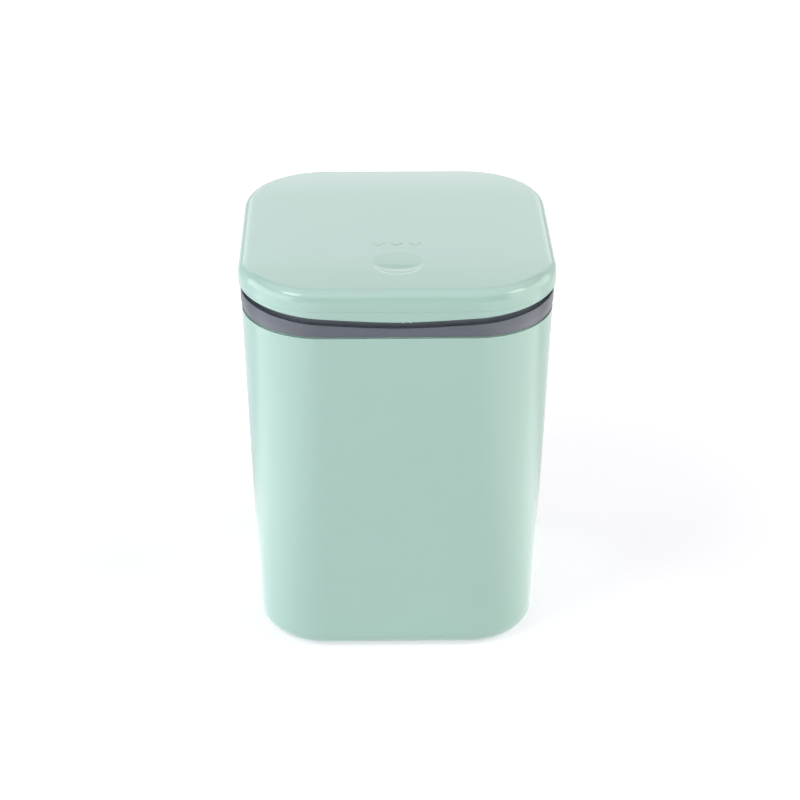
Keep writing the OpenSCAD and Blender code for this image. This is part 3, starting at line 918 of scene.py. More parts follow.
@dataclass(frozen=True)
class BinSizes:
    """Sizes that the sub-assemblies share. Those that the CAD boxes give are read from them."""

    half: float
    top_z: float
    part_z: float
    tub_h: float
    band_h: float = 5.1
    edge_rise: float = 4.4
    dip_round: float = 16.0
    corner_r: float = 40.0
    tub_inset: float = 1.2
    tub_taper: float = 4.7
    tub_wall: float = 2.2
    lid_gap: float = 3.4
    rim_wall: float = 2.0
    barrel_r: float = 3.0
    pin_rise: float = 0.6
    knuckle_w: float = 6.0
    knuckle_bevel: float = 0.25
    groove_half: float = 34.4
    screw_head_r: float = 2.3

    @classmethod
    def from_frame(cls) -> "BinSizes":
        """Reads the overall sizes from the CAD model."""
        shell_low, shell_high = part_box("lid_shell")
        _, tub_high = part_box("tub_shell")
        return cls(
            half=shell_high.x / MM, top_z=shell_high.z / MM, part_z=shell_low.z / MM, tub_h=tub_high.z / MM,
        )

    @property
    def core(self) -> float:
        """Distance from the middle to each corner's centre."""
        return self.half - self.corner_r

    @property
    def band_z(self) -> float:
        """Height of the collar's band at the middle of the front."""
        return self.tub_h + self.band_h

    @property
    def lid_low_z(self) -> float:
        """Height of the lid's lower edge at the middle of the front."""
        return self.band_z + self.lid_gap

    @property
    def lean(self) -> float:
        """Angle that the tub's sides lean in, in radians."""
        return math.atan(self.tub_taper / self.tub_h)

    @property
    def hinge(self) -> Vector:
        """The middle of the hinge line."""
        return Vector((0, self.half - self.barrel_r, self.band_z + self.edge_rise + self.pin_rise))

    def out_of_core(self, x: float, y: float) -> float:
        """Distance of a place out from the line of the corner centres."""
        return math.hypot(max(abs(x) - self.core, 0.0), max(abs(y) - self.core, 0.0))

    def tub_side(self, z: float) -> float:
        """How far out the tub's side is at a height."""
        return self.corner_r - self.tub_inset - self.tub_taper * (self.tub_h - z) / self.tub_h

    def tub_inside(self, z: float) -> float:
        """How far out the inside of the tub's wall is at a height."""
        return self.tub_side(z) - self.tub_wall / math.cos(self.lean)

    def edge_lift(self, x: float, y: float) -> float:
        """Rise of the dipped edge between collar and lid at a place in plan.

        Args:
            x: the place's x.
            y: the place's y; the edge dips on the front half alone.

        Returns:
            The rise above the edge's lowest point.
        """
        full = self.half - self.rim_wall
        u = min(abs(x), full) if y < 0 else full
        level = math.sqrt(full * full + self.dip_round**2) - self.dip_round
        return self.edge_rise * (math.sqrt(u * u + self.dip_round**2) - self.dip_round) / level


# Sub-assemblies


@dataclass
class Tub:
    """The tapered tub with its rounded foot, hollow inside and recessed below."""

    sizes: BinSizes
    dresser: Dresser
    foot_fillet: float = 11.0
    floor: float = 2.4
    foot_ring_w: float = 5.0
    foot_recess: float = 1.5
    rim_round: float = 0.45
    lip_drop: float = 0.3
    lip_w: float = 0.5
    groove_w: float = 0.7
    groove_depth: float = 1.2
    below_margin: float = 3.0
    floor_margin: float = 14.0
    core_margin: float = 0.6
    gate_r: float = 5.0
    gate_soft: float = 0.6
    gate_depth: float = 0.5
    gate_rings: tuple[float, ...] = (0.8, 1.05, 1.3, 1.55, 2.2, 3.2, 4.2, 4.6, 5.0, 5.4, 5.8, 7.5)
    gate_clear: float = 12.0
    nub_r: float = 1.3
    nub_soft: float = 0.25
    nub_h: float = 0.35
    ejector_r: float = 13.0
    ejector_soft: float = 0.2
    ejector_depth: float = 0.12
    ejector_rings: tuple[float, ...] = (-1.0, -0.25, -0.1, 0.0, 0.1, 0.25, 1.0)
    ejector_clear: float = 3.0
    dots_reach: float = 44.0
    dots_gap: float = 11.0

    def build(self) -> None:
        """Builds the tub's shell."""
        s = self.sizes
        inner_foot = self.foot_recess + self.floor
        fillet_w = self.foot_fillet * (1 - math.sin(s.lean)) / math.cos(s.lean)
        ring_in = s.tub_side(0) - fillet_w - self.foot_ring_w
        side = s.tub_side(s.tub_h)
        lip_z, groove_z = s.tub_h - self.lip_drop, s.tub_h - self.groove_depth
        groove_out, groove_in = side - self.lip_w, side - self.lip_w - self.groove_w
        corners = [
            Corner(ring_in - self.below_margin, self.foot_recess),
            Corner(ring_in, self.foot_recess, 0.5),
            Corner(ring_in, 0, 0.4),
            Corner(s.tub_side(0), 0, self.foot_fillet),
            Corner(side, lip_z, 0.22),
            Corner(groove_out, lip_z, 0.08),
            Corner(groove_out, groove_z, 0.1),
            Corner(groove_in, groove_z, 0.1),
            Corner(groove_in, s.tub_h, 0.2),
            Corner(s.tub_inside(s.tub_h), s.tub_h, self.rim_round),
            Corner(s.tub_inside(inner_foot), inner_foot, self.foot_fillet - s.tub_wall),
            Corner(s.tub_inside(inner_foot) - self.floor_margin, inner_foot),
        ]
        shell = Shell()
        points = spaced(rounded(corners, False, 6.0), False)
        rings = shell.loft(SquarePlan(s.core), points, lambda p, x, y: p.up, False)
        shell.fill(rings[0], self._below_dots(), self._below)
        shell.fill(rings[-1], self._floor_dots(), lambda x, y: inner_foot + self._floor_mark(x, y))
        tub = shell.build("tub_moulding")
        two_finishes(tub, (self.dresser.mint, self.dresser.mint_core), self._off_the_core)
        self.dresser.dress(tub, self.dresser.mint, Body.TUB, Slot.MINT)
        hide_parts("tub_shell")

    def _off_the_core(self, place: Vector) -> bool:
        """Whether a place is inside, where the tool's unpolished core made the wall.

        Args:
            place: a place on the tub.

        Returns:
            True for the inside of the wall and the floor, and false elsewhere.
        """
        s = self.sizes
        wall_middle = (s.tub_side(place.z) + s.tub_inside(place.z)) / 2
        low, high = self.foot_recess + self.core_margin, s.tub_h - self.rim_round
        return s.out_of_core(place.x, place.y) < wall_middle and low < place.z < high

    def _below(self, x: float, y: float) -> float:
        """Height of the underside: a sunk gate with its trimmed nub in the middle.

        Args:
            x: a place's x.
            y: its y.

        Returns:
            The height there.
        """
        r = math.hypot(x, y)
        sunk = self.gate_depth * soft_round(r, self.gate_r, self.gate_soft)
        nub = self.nub_h * soft_round(r, self.nub_r, self.nub_soft)
        return self.foot_recess + sunk - nub

    def _below_dots(self) -> list[Spot]:
        """Places for the underside's gate and a coarse lattice round it."""
        dots = [(0.0, 0.0)]
        for radius in self.gate_rings:
            dots += circle(0, 0, radius, 40)
        around = lattice(self.dots_reach, self.dots_gap)
        return dots + [d for d in around if math.hypot(*d) > self.gate_clear]

    def _floor_mark(self, x: float, y: float) -> float:
        """Height of the faint round that the ejector leaves on the tub's floor, at a place."""
        return -self.ejector_depth * soft_round(math.hypot(x, y), self.ejector_r, self.ejector_soft)

    def _floor_dots(self) -> list[Spot]:
        """Places for the ejector's round and a coarse lattice beside its edge."""
        around = lattice(self.dots_reach, self.dots_gap)
        dots = [d for d in around if abs(math.hypot(*d) - self.ejector_r) > self.ejector_clear]
        for shift in self.ejector_rings:
            dots += circle(0, 0, self.ejector_r + shift, 72)
        return dots


@dataclass
class Collar:
    """The grey ring between tub and lid: band, channel, upright neck, skirt, knuckles and screw bosses."""

    sizes: BinSizes
    dresser: Dresser
    band_inset: float = 0.5
    band_flare: float = 0.8
    flare_h: float = 4.2
    band_wall: float = 2.0
    band_round: float = 0.45
    channel_depth: float = 2.6
    channel_w: float = 4.1
    neck_wall: float = 2.0
    neck_rise: float = 5.6
    skirt_len: float = 15.0
    skirt_wall: float = 1.8
    skirt_fit: float = 0.35
    skirt_flare_h: float = 4.0
    neck_foot: float = 0.5
    groove_z: float = 182.45
    groove_share: float = 0.1
    seam_h: float = 0.3
    seam_depth: float = 0.9
    edge_w: float = 1.0
    # How far in and how far above the tub's rim the channel's painted light reaches
    coarse_margin: float = 0.6
    painted_light_rise: float = 1.0
    boss_r: float = 3.2
    boss_root: float = 0.3
    boss_edge: float = 0.4
    boss_len: float = 3.5
    boss_x: float = 14.0
    knuckle_x: float = 29.1
    web_h: float = 2.0

    @property
    def band_foot(self) -> float:
        """How far out the band's foot is."""
        return self.sizes.tub_side(self.sizes.tub_h) - self.band_inset

    @property
    def band(self) -> float:
        """How far out the band is at its top."""
        return self.band_foot + self.band_flare

    @property
    def neck(self) -> float:
        """How far out the neck's outer face is."""
        return self.band - self.band_wall - self.channel_w

    def build(self) -> None:
        """Builds the collar."""
        s = self.sizes
        neck_in = self.neck - self.neck_wall
        neck_z = s.band_z + self.neck_rise
        channel_z = s.band_z - self.channel_depth
        skirt_z = s.tub_h - self.skirt_len
        flare_z = s.tub_h - self.skirt_flare_h
        seam_z = s.tub_h + self.seam_h
        seam_in = self.band_foot - self.seam_depth
        skirt_in = self.skirt_fit + self.skirt_wall
        corners = [
            Corner(s.tub_inside(skirt_z) - self.skirt_fit, skirt_z, 0.5),
            Corner(s.tub_inside(s.tub_h) - self.skirt_fit, s.tub_h, 0.2),
            Corner(seam_in, s.tub_h),
            Corner(seam_in, seam_z, 0.15),
            Corner(self.band_foot, seam_z, 0.2),
            Corner(self.band, s.tub_h + self.flare_h, 0.0),
            Corner(self.band, s.band_z, self.band_round, 1.0),
            Corner(self.band - self.edge_w, s.band_z, 0.25, 1.0),
            Corner(self.band - self.band_wall, channel_z, 0.4, 1.0),
            Corner(self.neck, channel_z, 0.5, 1.0),
            Corner(self.neck, neck_z, 0.5),
            Corner(neck_in, neck_z, 0.5),
            Corner(neck_in, s.tub_h + self.neck_foot, 1.0),
            Corner(s.tub_inside(flare_z) - skirt_in, flare_z, 1.0),
            Corner(s.tub_inside(skirt_z) - skirt_in, skirt_z, 0.5),
        ]
        shell = Shell()
        plan = SquarePlan(s.core, breaks=(s.groove_half,))
        shell.loft(plan, spaced(rounded(corners, True), True), self._height, True)
        self._knuckles(shell)
        self._bosses(shell, -(s.core + neck_in))
        collar = shell.build("collar_moulding")
        # The channel beside the neck gets the paler grey: painted light in the shaded gap under the lid
        two_finishes(collar, (self.dresser.grey, self.dresser.grey_channel_painted_light), self._in_channel)
        self.dresser.dress(collar, self.dresser.grey, Body.COLLAR, Slot.GREY)
        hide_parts("collar_ring")

    def _in_channel(self, place: Vector) -> bool:
        """Whether a place is in the channel between the neck and the band, which gets a paler grey: painted
        light standing in for the light that reaches this shaded gap.

        Args:
            place: a place on the collar.

        Returns:
            True for the channel and the faces beside it.
        """
        s = self.sizes
        beside = self.neck - self.coarse_margin < s.out_of_core(place.x, place.y) < self.band - self.edge_w
        return beside and place.z > s.tub_h + self.painted_light_rise

    def _height(self, point: Corner, x: float, y: float) -> float:
        """A profile point's height, with the dipped edge and the hinge's groove in the band's back.

        Args:
            point: the profile's point.
            x: its x in plan.
            y: its y in plan.

        Returns:
            The height there.
        """
        s = self.sizes
        z = point.up + point.dip * s.edge_lift(x, y)
        outer = y > s.half - self.band_wall - self.channel_w / 2
        if point.dip and outer and abs(x) < s.groove_half:
            return min(z, self.groove_z - (s.band_z - point.up) * self.groove_share)
        return z

    def _knuckles(self, shell: Shell) -> None:
        """Adds the three knuckles with their webs.

        Args:
            shell: the collar's mesh.
        """
        s = self.sizes
        web = s.barrel_r + self.web_h
        outline = arc(s.barrel_r, 0, 180, 18) + [(-s.barrel_r, -web), (self.band + s.core - s.hinge.y, -web)]
        for x in (-self.knuckle_x, 0.0, self.knuckle_x):
            shell.prism(outline, s.knuckle_w, knuckle_frame(s, x), s.knuckle_bevel)

    def _bosses(self, shell: Shell, wall_y: float) -> None:
        """Adds the two bosses that the latch case is screwed to.

        Args:
            shell: the collar's mesh.
            wall_y: y of the neck's inner face.
        """
        low, high = in_mm(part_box("case_screws"))
        z = (low.z + high.z) / 2
        r, end, edge = self.boss_r, self.boss_len, self.boss_edge
        sunk = -self.neck_wall / 2
        profile = [
            (0, sunk), (r + self.boss_root, sunk), (r + self.boss_root / 3, edge * 1.5), (r, edge * 3.5),
            (r, end - edge), (r - edge * 0.3, end - edge * 0.3), (r - edge, end), (0, end),
        ]
        for side in Side:
            shell.lathe(profile, axis_frame(Vector((side.value * self.boss_x, wall_y, z)), Vector((0, 1, 0))))


def knuckle_frame(sizes: BinSizes, x: float) -> Matrix:
    """A frame on the hinge line whose X runs to the back, Y up and Z along the pin.

    Args:
        sizes: the bin's sizes.
        x: how far along the pin.

    Returns:
        The frame's matrix.
    """
    frame = Matrix(((0, 0, 1, 0), (1, 0, 0, 0), (0, 1, 0, 0), (0, 0, 0, 1)))
    return Matrix.Translation(sizes.hinge + Vector((x, 0, 0))) @ frame


@dataclass
class Lid:
    """The two-part lid: glossy shell with thumb dish and arrowheads, liner, striker and soft pads."""

    sizes: BinSizes
    dresser: Dresser
    fillet: float = 6.0
    crown: float = 1.2
    shell_wall: float = 2.2
    shell_top: float = 2.5
    plate_lift: float = 1.0
    plate: float = 1.6
    lip_fit: float = 0.3
    part_line: float = 0.16
    dish_r: float = 12.4
    dish_y: float = -44.0
    ledge_depth: float = 0.3
    ledge_w: float = 1.7
    hollow_r: float = 14.6
    hollow_y: float = -37.6
    hollow_fall: float = 0.045
    hollow_rise: float = 0.19
    hollow_lip: float = 0.2
    hollow_blend: float = 0.3
    dish_wall: float = 0.25
    mark_w: float = 6.0
    mark_gap: float = 2.5
    mark_depth: float = 0.28
    mark_wall: float = 0.38
    mark_y: float = -24.1
    mark_guard: float = 0.4
    dish_guard: float = 1.2
    coarse_gap: float = 3.1
    fine_gap: float = 0.42
    knuckle_x: float = 22.7
    knuckle_room: float = 0.5
    web_room: float = 0.1
    ceiling_margin: float = 4.0
    plate_margin: float = 8.0
    plate_slope: float = 1.3
    boss_r: float = 3.5
    boss_edge: float = 0.3
    boss_sunk: float = 0.8
    gate_x: float = 1.9
    gate_gap: float = 3.4
    gate_r: float = 0.55
    gate_hang: float = 0.45
    gate_inset: float = 0.15
    dots_gap: float = 12.0
    ceiling_reach: float = 50.0
    plate_reach: float = 52.0

    def build(self) -> None:
        """Builds the shell, the liner and the pads."""
        self._shell()
        self._liner()
        for side in Side:
            self._pad(side)

    @property
    def top_r(self) -> float:
        """How far out the lid's top goes before its edge turns down."""
        return self.sizes.corner_r - self.fillet

    def top(self, x: float, y: float) -> float:
        """Height of the lid's top at a place: domed, with the dish and the arrowheads pressed in."""
        dome = self.sizes.top_z - self.crown * (self.sizes.out_of_core(x, y) / self.top_r) ** 2
        return dome - self._dish(x, y) - self._marks(x, y)

    def _dish(self, x: float, y: float) -> float:
        """The thumb dish: a flat fall from its back edge, a short rise, and a crescent ledge in front.

        Args:
            x: a place's x.
            y: its y.

        Returns:
            How deep the dish is there.
        """
        rim = self.dish_r - math.hypot(x, y - self.dish_y)
        if rim <= 0:
            return 0.0
        front = smooth_step(self.dish_y - y, -0.1 * self.dish_r, 0.6 * self.dish_r)
        ledge = self.ledge_depth * front * smooth_step(rim, 0.0, self.ledge_w)
        lip = self.hollow_r - math.hypot(x, y - self.hollow_y)
        if lip <= 0:
            return ledge
        back = self.dish_y + math.sqrt(max(self.dish_r**2 - x * x, 0.0))
        fall = self.hollow_fall * max(back - y, 0.0) * smooth_step(rim, -1.5, 3.0)
        rise = self.hollow_lip * smooth_step(lip, 0.0, 1.2) + self.hollow_rise * lip
        gap = max(self.hollow_blend - abs(fall - rise), 0.0) / self.hollow_blend
        hollow = max(min(fall, rise) - gap * gap * self.hollow_blend / 4, 0.0)
        return ledge + min(hollow, self.dish_wall * rim)

    @property
    def mark_pitch(self) -> float:
        """Distance from one arrowhead to the next."""
        return self.mark_w + self.mark_gap

    def _marks(self, x: float, y: float) -> float:
        """The three pressed-in arrowheads behind the dish.

        Args:
            x: a place's x.
            y: its y.

        Returns:
            How deep they are there.
        """
        column = min(1, max(-1, round(x / self.mark_pitch)))
        u, v = abs(x - column * self.mark_pitch), y - self.mark_y
        half, root = self.mark_w / 2, math.sqrt(0.5)
        inside = min((u - v) * root, (v - u + half / 2) * root, half - u)
        return self.mark_depth * smooth_step(inside, 0.0, self.mark_wall)

    def _mark_dots(self) -> list[Spot]:
        """Places along the arrowheads' edges and the feet of their walls."""
        half, root = self.mark_w / 2, math.sqrt(0.5)
        dots = []
        for inset in (-0.15, 0.0, self.mark_wall / 2, self.mark_wall, self.mark_wall + 0.12):
            side, drop = half - inset, inset / root
            turns = [(-side, side - drop), (0, -drop), (side, side - drop), (side, side - half / 2 + drop)]
            turns += [(0, drop - half / 2), (-side, side - half / 2 + drop)]
            for (x0, y0), (x1, y1) in zip(turns, turns[1:] + turns[:1]):
                steps = max(1, round(math.hypot(x1 - x0, y1 - y0) / 0.25))
                for i in range(steps):
                    dots.append((x0 + (x1 - x0) * i / steps, y0 + (y1 - y0) * i / steps + self.mark_y))
        return [(x + column * self.mark_pitch, y) for column in (-1, 0, 1) for x, y in dots]

    def _near_marks(self, x: float, y: float) -> bool:
        """Whether a place is in the arrowheads' row."""
        low = self.mark_y - self.mark_w / 4 - self.mark_guard
        high = self.mark_y + self.mark_w / 2 + self.mark_guard
        return abs(x) < self.mark_pitch + self.mark_w / 2 + self.mark_guard and low < y < high

    def _top_dots(self) -> list[Spot]:
        """Places on the lid's top: coarse all over, fine at the dish and the arrowheads."""
        reach = self.dish_r + self.dish_guard
        coarse, dish = [], []
        for x, y in lattice(self.sizes.core + self.top_r, self.coarse_gap):
            near_dish = math.hypot(x, y - self.dish_y) < reach
            inside = self.sizes.out_of_core(x, y) < self.top_r - self.dish_guard
            if inside and not near_dish and not self._near_marks(x, y):
                coarse.append((x, y))
        for x, y in lattice(reach, self.fine_gap, self.dish_y):
            if math.hypot(x, y - self.dish_y) < reach:
                dish.append((x, y))
        return coarse + dish + self._mark_dots()

    def _shell(self) -> None:
        """Builds the outer shell above the parting line."""
        s = self.sizes
        lean = math.atan(2 * self.crown / self.top_r)
        arc_z = s.top_z - self.crown - self.fillet * math.cos(lean)
        inner_fillet = self.fillet - self.shell_wall
        ceiling = s.top_z - self.crown - self.shell_top
        outside = arc(self.fillet, 0, 90 - math.degrees(lean), 20, (self.top_r, arc_z))
        inside = arc(inner_fillet, 90, 0, 10, (self.top_r, ceiling - inner_fillet))
        foot = [
            Corner(s.corner_r - self.shell_wall, s.part_z + 1.0),
            Corner(s.corner_r - self.shell_wall, s.part_z, 0.2),
            Corner(s.corner_r, s.part_z, self.part_line),
            Corner(s.corner_r, s.part_z + 1.0),
        ]
        points = [Corner(self.top_r - self.ceiling_margin, ceiling)] + [Corner(*spot) for spot in inside]
        points += rounded(foot, False) + [Corner(*spot) for spot in outside]
        shell = Shell()
        rings = shell.loft(SquarePlan(s.core), spaced(points, False), lambda p, x, y: p.up, False)
        shell.fill(rings[0], lattice(self.ceiling_reach, self.dots_gap), lambda x, y: ceiling)
        shell.fill(rings[-1], self._top_dots(), self.top)
        self._screw_bosses(shell, ceiling)
        lid = shell.build("lid_shell_moulding")
        self.dresser.dress(lid, self.dresser.mint, Body.LID, Slot.MINT)
        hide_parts("lid_shell")

    def _screw_bosses(self, shell: Shell, ceiling: float) -> None:
        """Adds the four bosses inside the shell.

        Args:
            shell: the lid shell's mesh.
            ceiling: height of the shell's inner face.
        """
        low, high = in_mm(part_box("liner_screws"))
        foot = self.sizes.part_z + self.plate_lift + self.plate
        at = (high.x + high.y - low.x - low.y) / 4 - self.sizes.screw_head_r
        r, edge, end = self.boss_r, self.boss_edge, ceiling + self.boss_sunk
        profile = [(0, foot), (r - edge, foot), (r, foot + edge), (r, ceiling), (r, end), (0, end)]
        for sx in Side:
            for sy in Side:
                shell.lathe(profile, Matrix.Translation((sx.value * at, sy.value * at, 0)))

    def _liner(self) -> None:
        """Builds the lower moulding, whose rim shows under the parting line."""
        s = self.sizes
        inner = s.corner_r - s.rim_wall
        lip = s.corner_r - self.shell_wall - self.lip_fit
        plate_z = s.part_z + self.plate_lift
        top = plate_z + self.plate
        corners = [
            Corner(lip - self.plate_margin, plate_z),
            Corner(lip - self.plate, plate_z, 1.2),
            Corner(inner - 0.4, plate_z - self.plate_slope, 0.4),
            Corner(inner, s.lid_low_z, 0.3, 1.0),
            Corner(s.corner_r, s.lid_low_z, 0.4, 1.0),
            Corner(s.corner_r, s.part_z, self.part_line),
            Corner(lip, s.part_z, 0.2),
            Corner(lip, top, 0.4),
            Corner(lip - self.plate_margin, top),
        ]
        shell = Shell()
        plan = SquarePlan(s.core, breaks=(s.groove_half,))
        rings = shell.loft(plan, spaced(rounded(corners, False), False), self._liner_height, False)
        shell.fill(rings[0], lattice(self.plate_reach, self.dots_gap), lambda x, y: plate_z)
        shell.fill(rings[-1], lattice(self.plate_reach, self.dots_gap), lambda x, y: top)
        r = s.barrel_r
        web = s.part_z - s.hinge.z - self.web_room
        outline = [(r, 0), (r, web), (0, web)] + arc(r, 90, 350, 26)
        for side in Side:
            shell.prism(outline, s.knuckle_w, knuckle_frame(s, side.value * self.knuckle_x), s.knuckle_bevel)
        self._gate(shell)
        liner = shell.build("lid_liner_moulding")
        self.dresser.dress(liner, self.dresser.mint, Body.LID, Slot.MINT)
        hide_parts("lid_liner")

    def _gate(self, shell: Shell) -> None:
        """Adds the two trimmed stubs that the gate leaves under the liner's front edge.

        Args:
            shell: the liner's mesh.
        """
        s = self.sizes
        hang, r = self.gate_hang, self.gate_r
        profile = [(0, -1.0), (r, -1.0), (r, hang * 0.5), (r * 0.8, hang * 0.85), (r * 0.4, hang), (0, hang)]
        for x in (self.gate_x, self.gate_x + self.gate_gap):
            foot = s.lid_low_z + s.edge_lift(x, -s.half)
            place = Vector((x, r + self.gate_inset - s.half, foot))
            shell.lathe(profile, axis_frame(place, Vector((0, 0, -1))), 20)

    def _liner_height(self, point: Corner, x: float, y: float) -> float:
        """A profile point's height, with the dipped edge and room over the collar's knuckles.

        Args:
            point: the profile's point.
            x: its x in plan.
            y: its y in plan.

        Returns:
            The height there.
        """
        s = self.sizes
        z = point.up + point.dip * s.edge_lift(x, y)
        inner_edge = point.dip and point.out < s.corner_r - s.rim_wall / 2
        return z + self.knuckle_room if inner_edge and y > 0 and abs(x) < s.groove_half else z

    def _pad(self, side: Side) -> None:
        """Builds one soft domed pad under the liner.

        Args:
            side: left or right.
        """
        name = f"lid_pad_{side.name.lower()}"
        low, high = in_mm(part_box(name))
        radius = (high.x - low.x) / 2
        height = high.z - low.z
        middle = (low + high) / 2
        dome = [(radius * y, -height * (0.45 + 0.55 * x)) for x, y in arc(1.0, 0, 90, 10)]
        profile = dome + [(radius, -0.1), (radius - 0.05, 0.0), (0, 0.0)]
        shell = Shell()
        shell.lathe(profile, Matrix.Translation((middle.x, middle.y, high.z)), 48)
        pad = shell.build(f"pad_{side.name.lower()}")
        self.dresser.dress(pad, self.dresser.pad, Body.LID, Slot.PAD)
        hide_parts(name)


@dataclass
class Hinge:
    """The steel pin with its push-on caps, and the two springs that throw the lid open."""

    sizes: BinSizes
    dresser: Dresser
    chamfer: float = 0.3
    wire_r: float = 0.35
    coil_r: float = 2.0
    gap: float = 0.45
    turns: float = 7.5
    leg: float = 3.5
    steps_per_turn: int = 28

    def build(self) -> None:
        """Builds the pin, the caps and the springs."""
        self._pin()
        for side in Side:
            self._cap(side)
            self._spring(side)

    def _pin(self) -> None:
        """Builds the pin with chamfered ends."""
        low, high = in_mm(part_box("hinge_pin"))
        radius, half = (high.z - low.z) / 2, high.x
        c = self.chamfer
        end = [(radius, half - 2 * c), (radius, half - c), (radius - c, half), (0, half)]
        profile = [(x, -z) for x, z in reversed(end)] + end
        shell = Shell()
        shell.lathe(profile, axis_frame(self.sizes.hinge, Vector((1, 0, 0))))
        pin = shell.build("pin_rod")
        self.dresser.dress(pin, self.dresser.spring, Body.HINGE_ROD, Slot.SPRING)
        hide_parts("hinge_pin")

    def _cap(self, side: Side) -> None:
        """Builds one push-on cap: a domed washer with a rolled rim.

        Args:
            side: left or right.
        """
        name = f"pin_cap_{side.name.lower()}"
        low, high = in_mm(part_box(name))
        radius = (high.z - low.z) / 2
        thick = high.x - low.x
        start = min(abs(low.x), abs(high.x))
        profile = [(0, 0), (radius - 0.25, 0), (radius - 0.06, 0.06), (radius, 0.25), (radius, thick * 0.55)]
        profile += [(radius * x, thick * (0.55 + 0.45 * y)) for x, y in arc(1.0, 12, 84, 6)] + [(0, thick)]
        shell = Shell()
        place = self.sizes.hinge + Vector((side.value * start, 0, 0))
        shell.lathe(profile, axis_frame(place, Vector((side.value, 0, 0))))
        cap = shell.build(f"cap_{side.name.lower()}")
        self.dresser.dress(cap, self.dresser.spring, Body.HINGE_ROD, Slot.SPRING)
        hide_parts(name)

    def _spring(self, side: Side) -> None:
        """Builds one torsion spring with a straight leg at each end.

        Args:
            side: left or right.
        """
        name = f"lid_spring_{side.name.lower()}"
        low, high = in_mm(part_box(name))
        outer = max(abs(low.x), abs(high.x)) - self.wire_r
        pitch = 2 * self.wire_r + self.gap
        start = outer - pitch * self.turns
        count = int(self.turns * self.steps_per_turn)
        path = []
        for i in range(count + 1):
            turn = self.turns * i / count
            a = 2 * math.pi * turn
            path.append(Vector((start + pitch * turn, self.coil_r * math.sin(a), -self.coil_r * math.cos(a))))
        first, last = (path[0] - path[1]).normalized(), (path[-1] - path[-2]).normalized()
        path = [path[0] + first * self.leg] + path + [path[-1] + last * self.leg]
        at = self.sizes.hinge
        path = [Vector((side.value * p.x + at.x, p.y + at.y, p.z + at.z)) for p in path]
        shell = Shell()
        shell.tube(path, self.wire_r)
        spring = shell.build(f"torsion_spring_{side.name.lower()}", 60)
        self.dresser.dress(spring, self.dresser.spring, Body.COLLAR, Slot.SPRING)
        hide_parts(name)


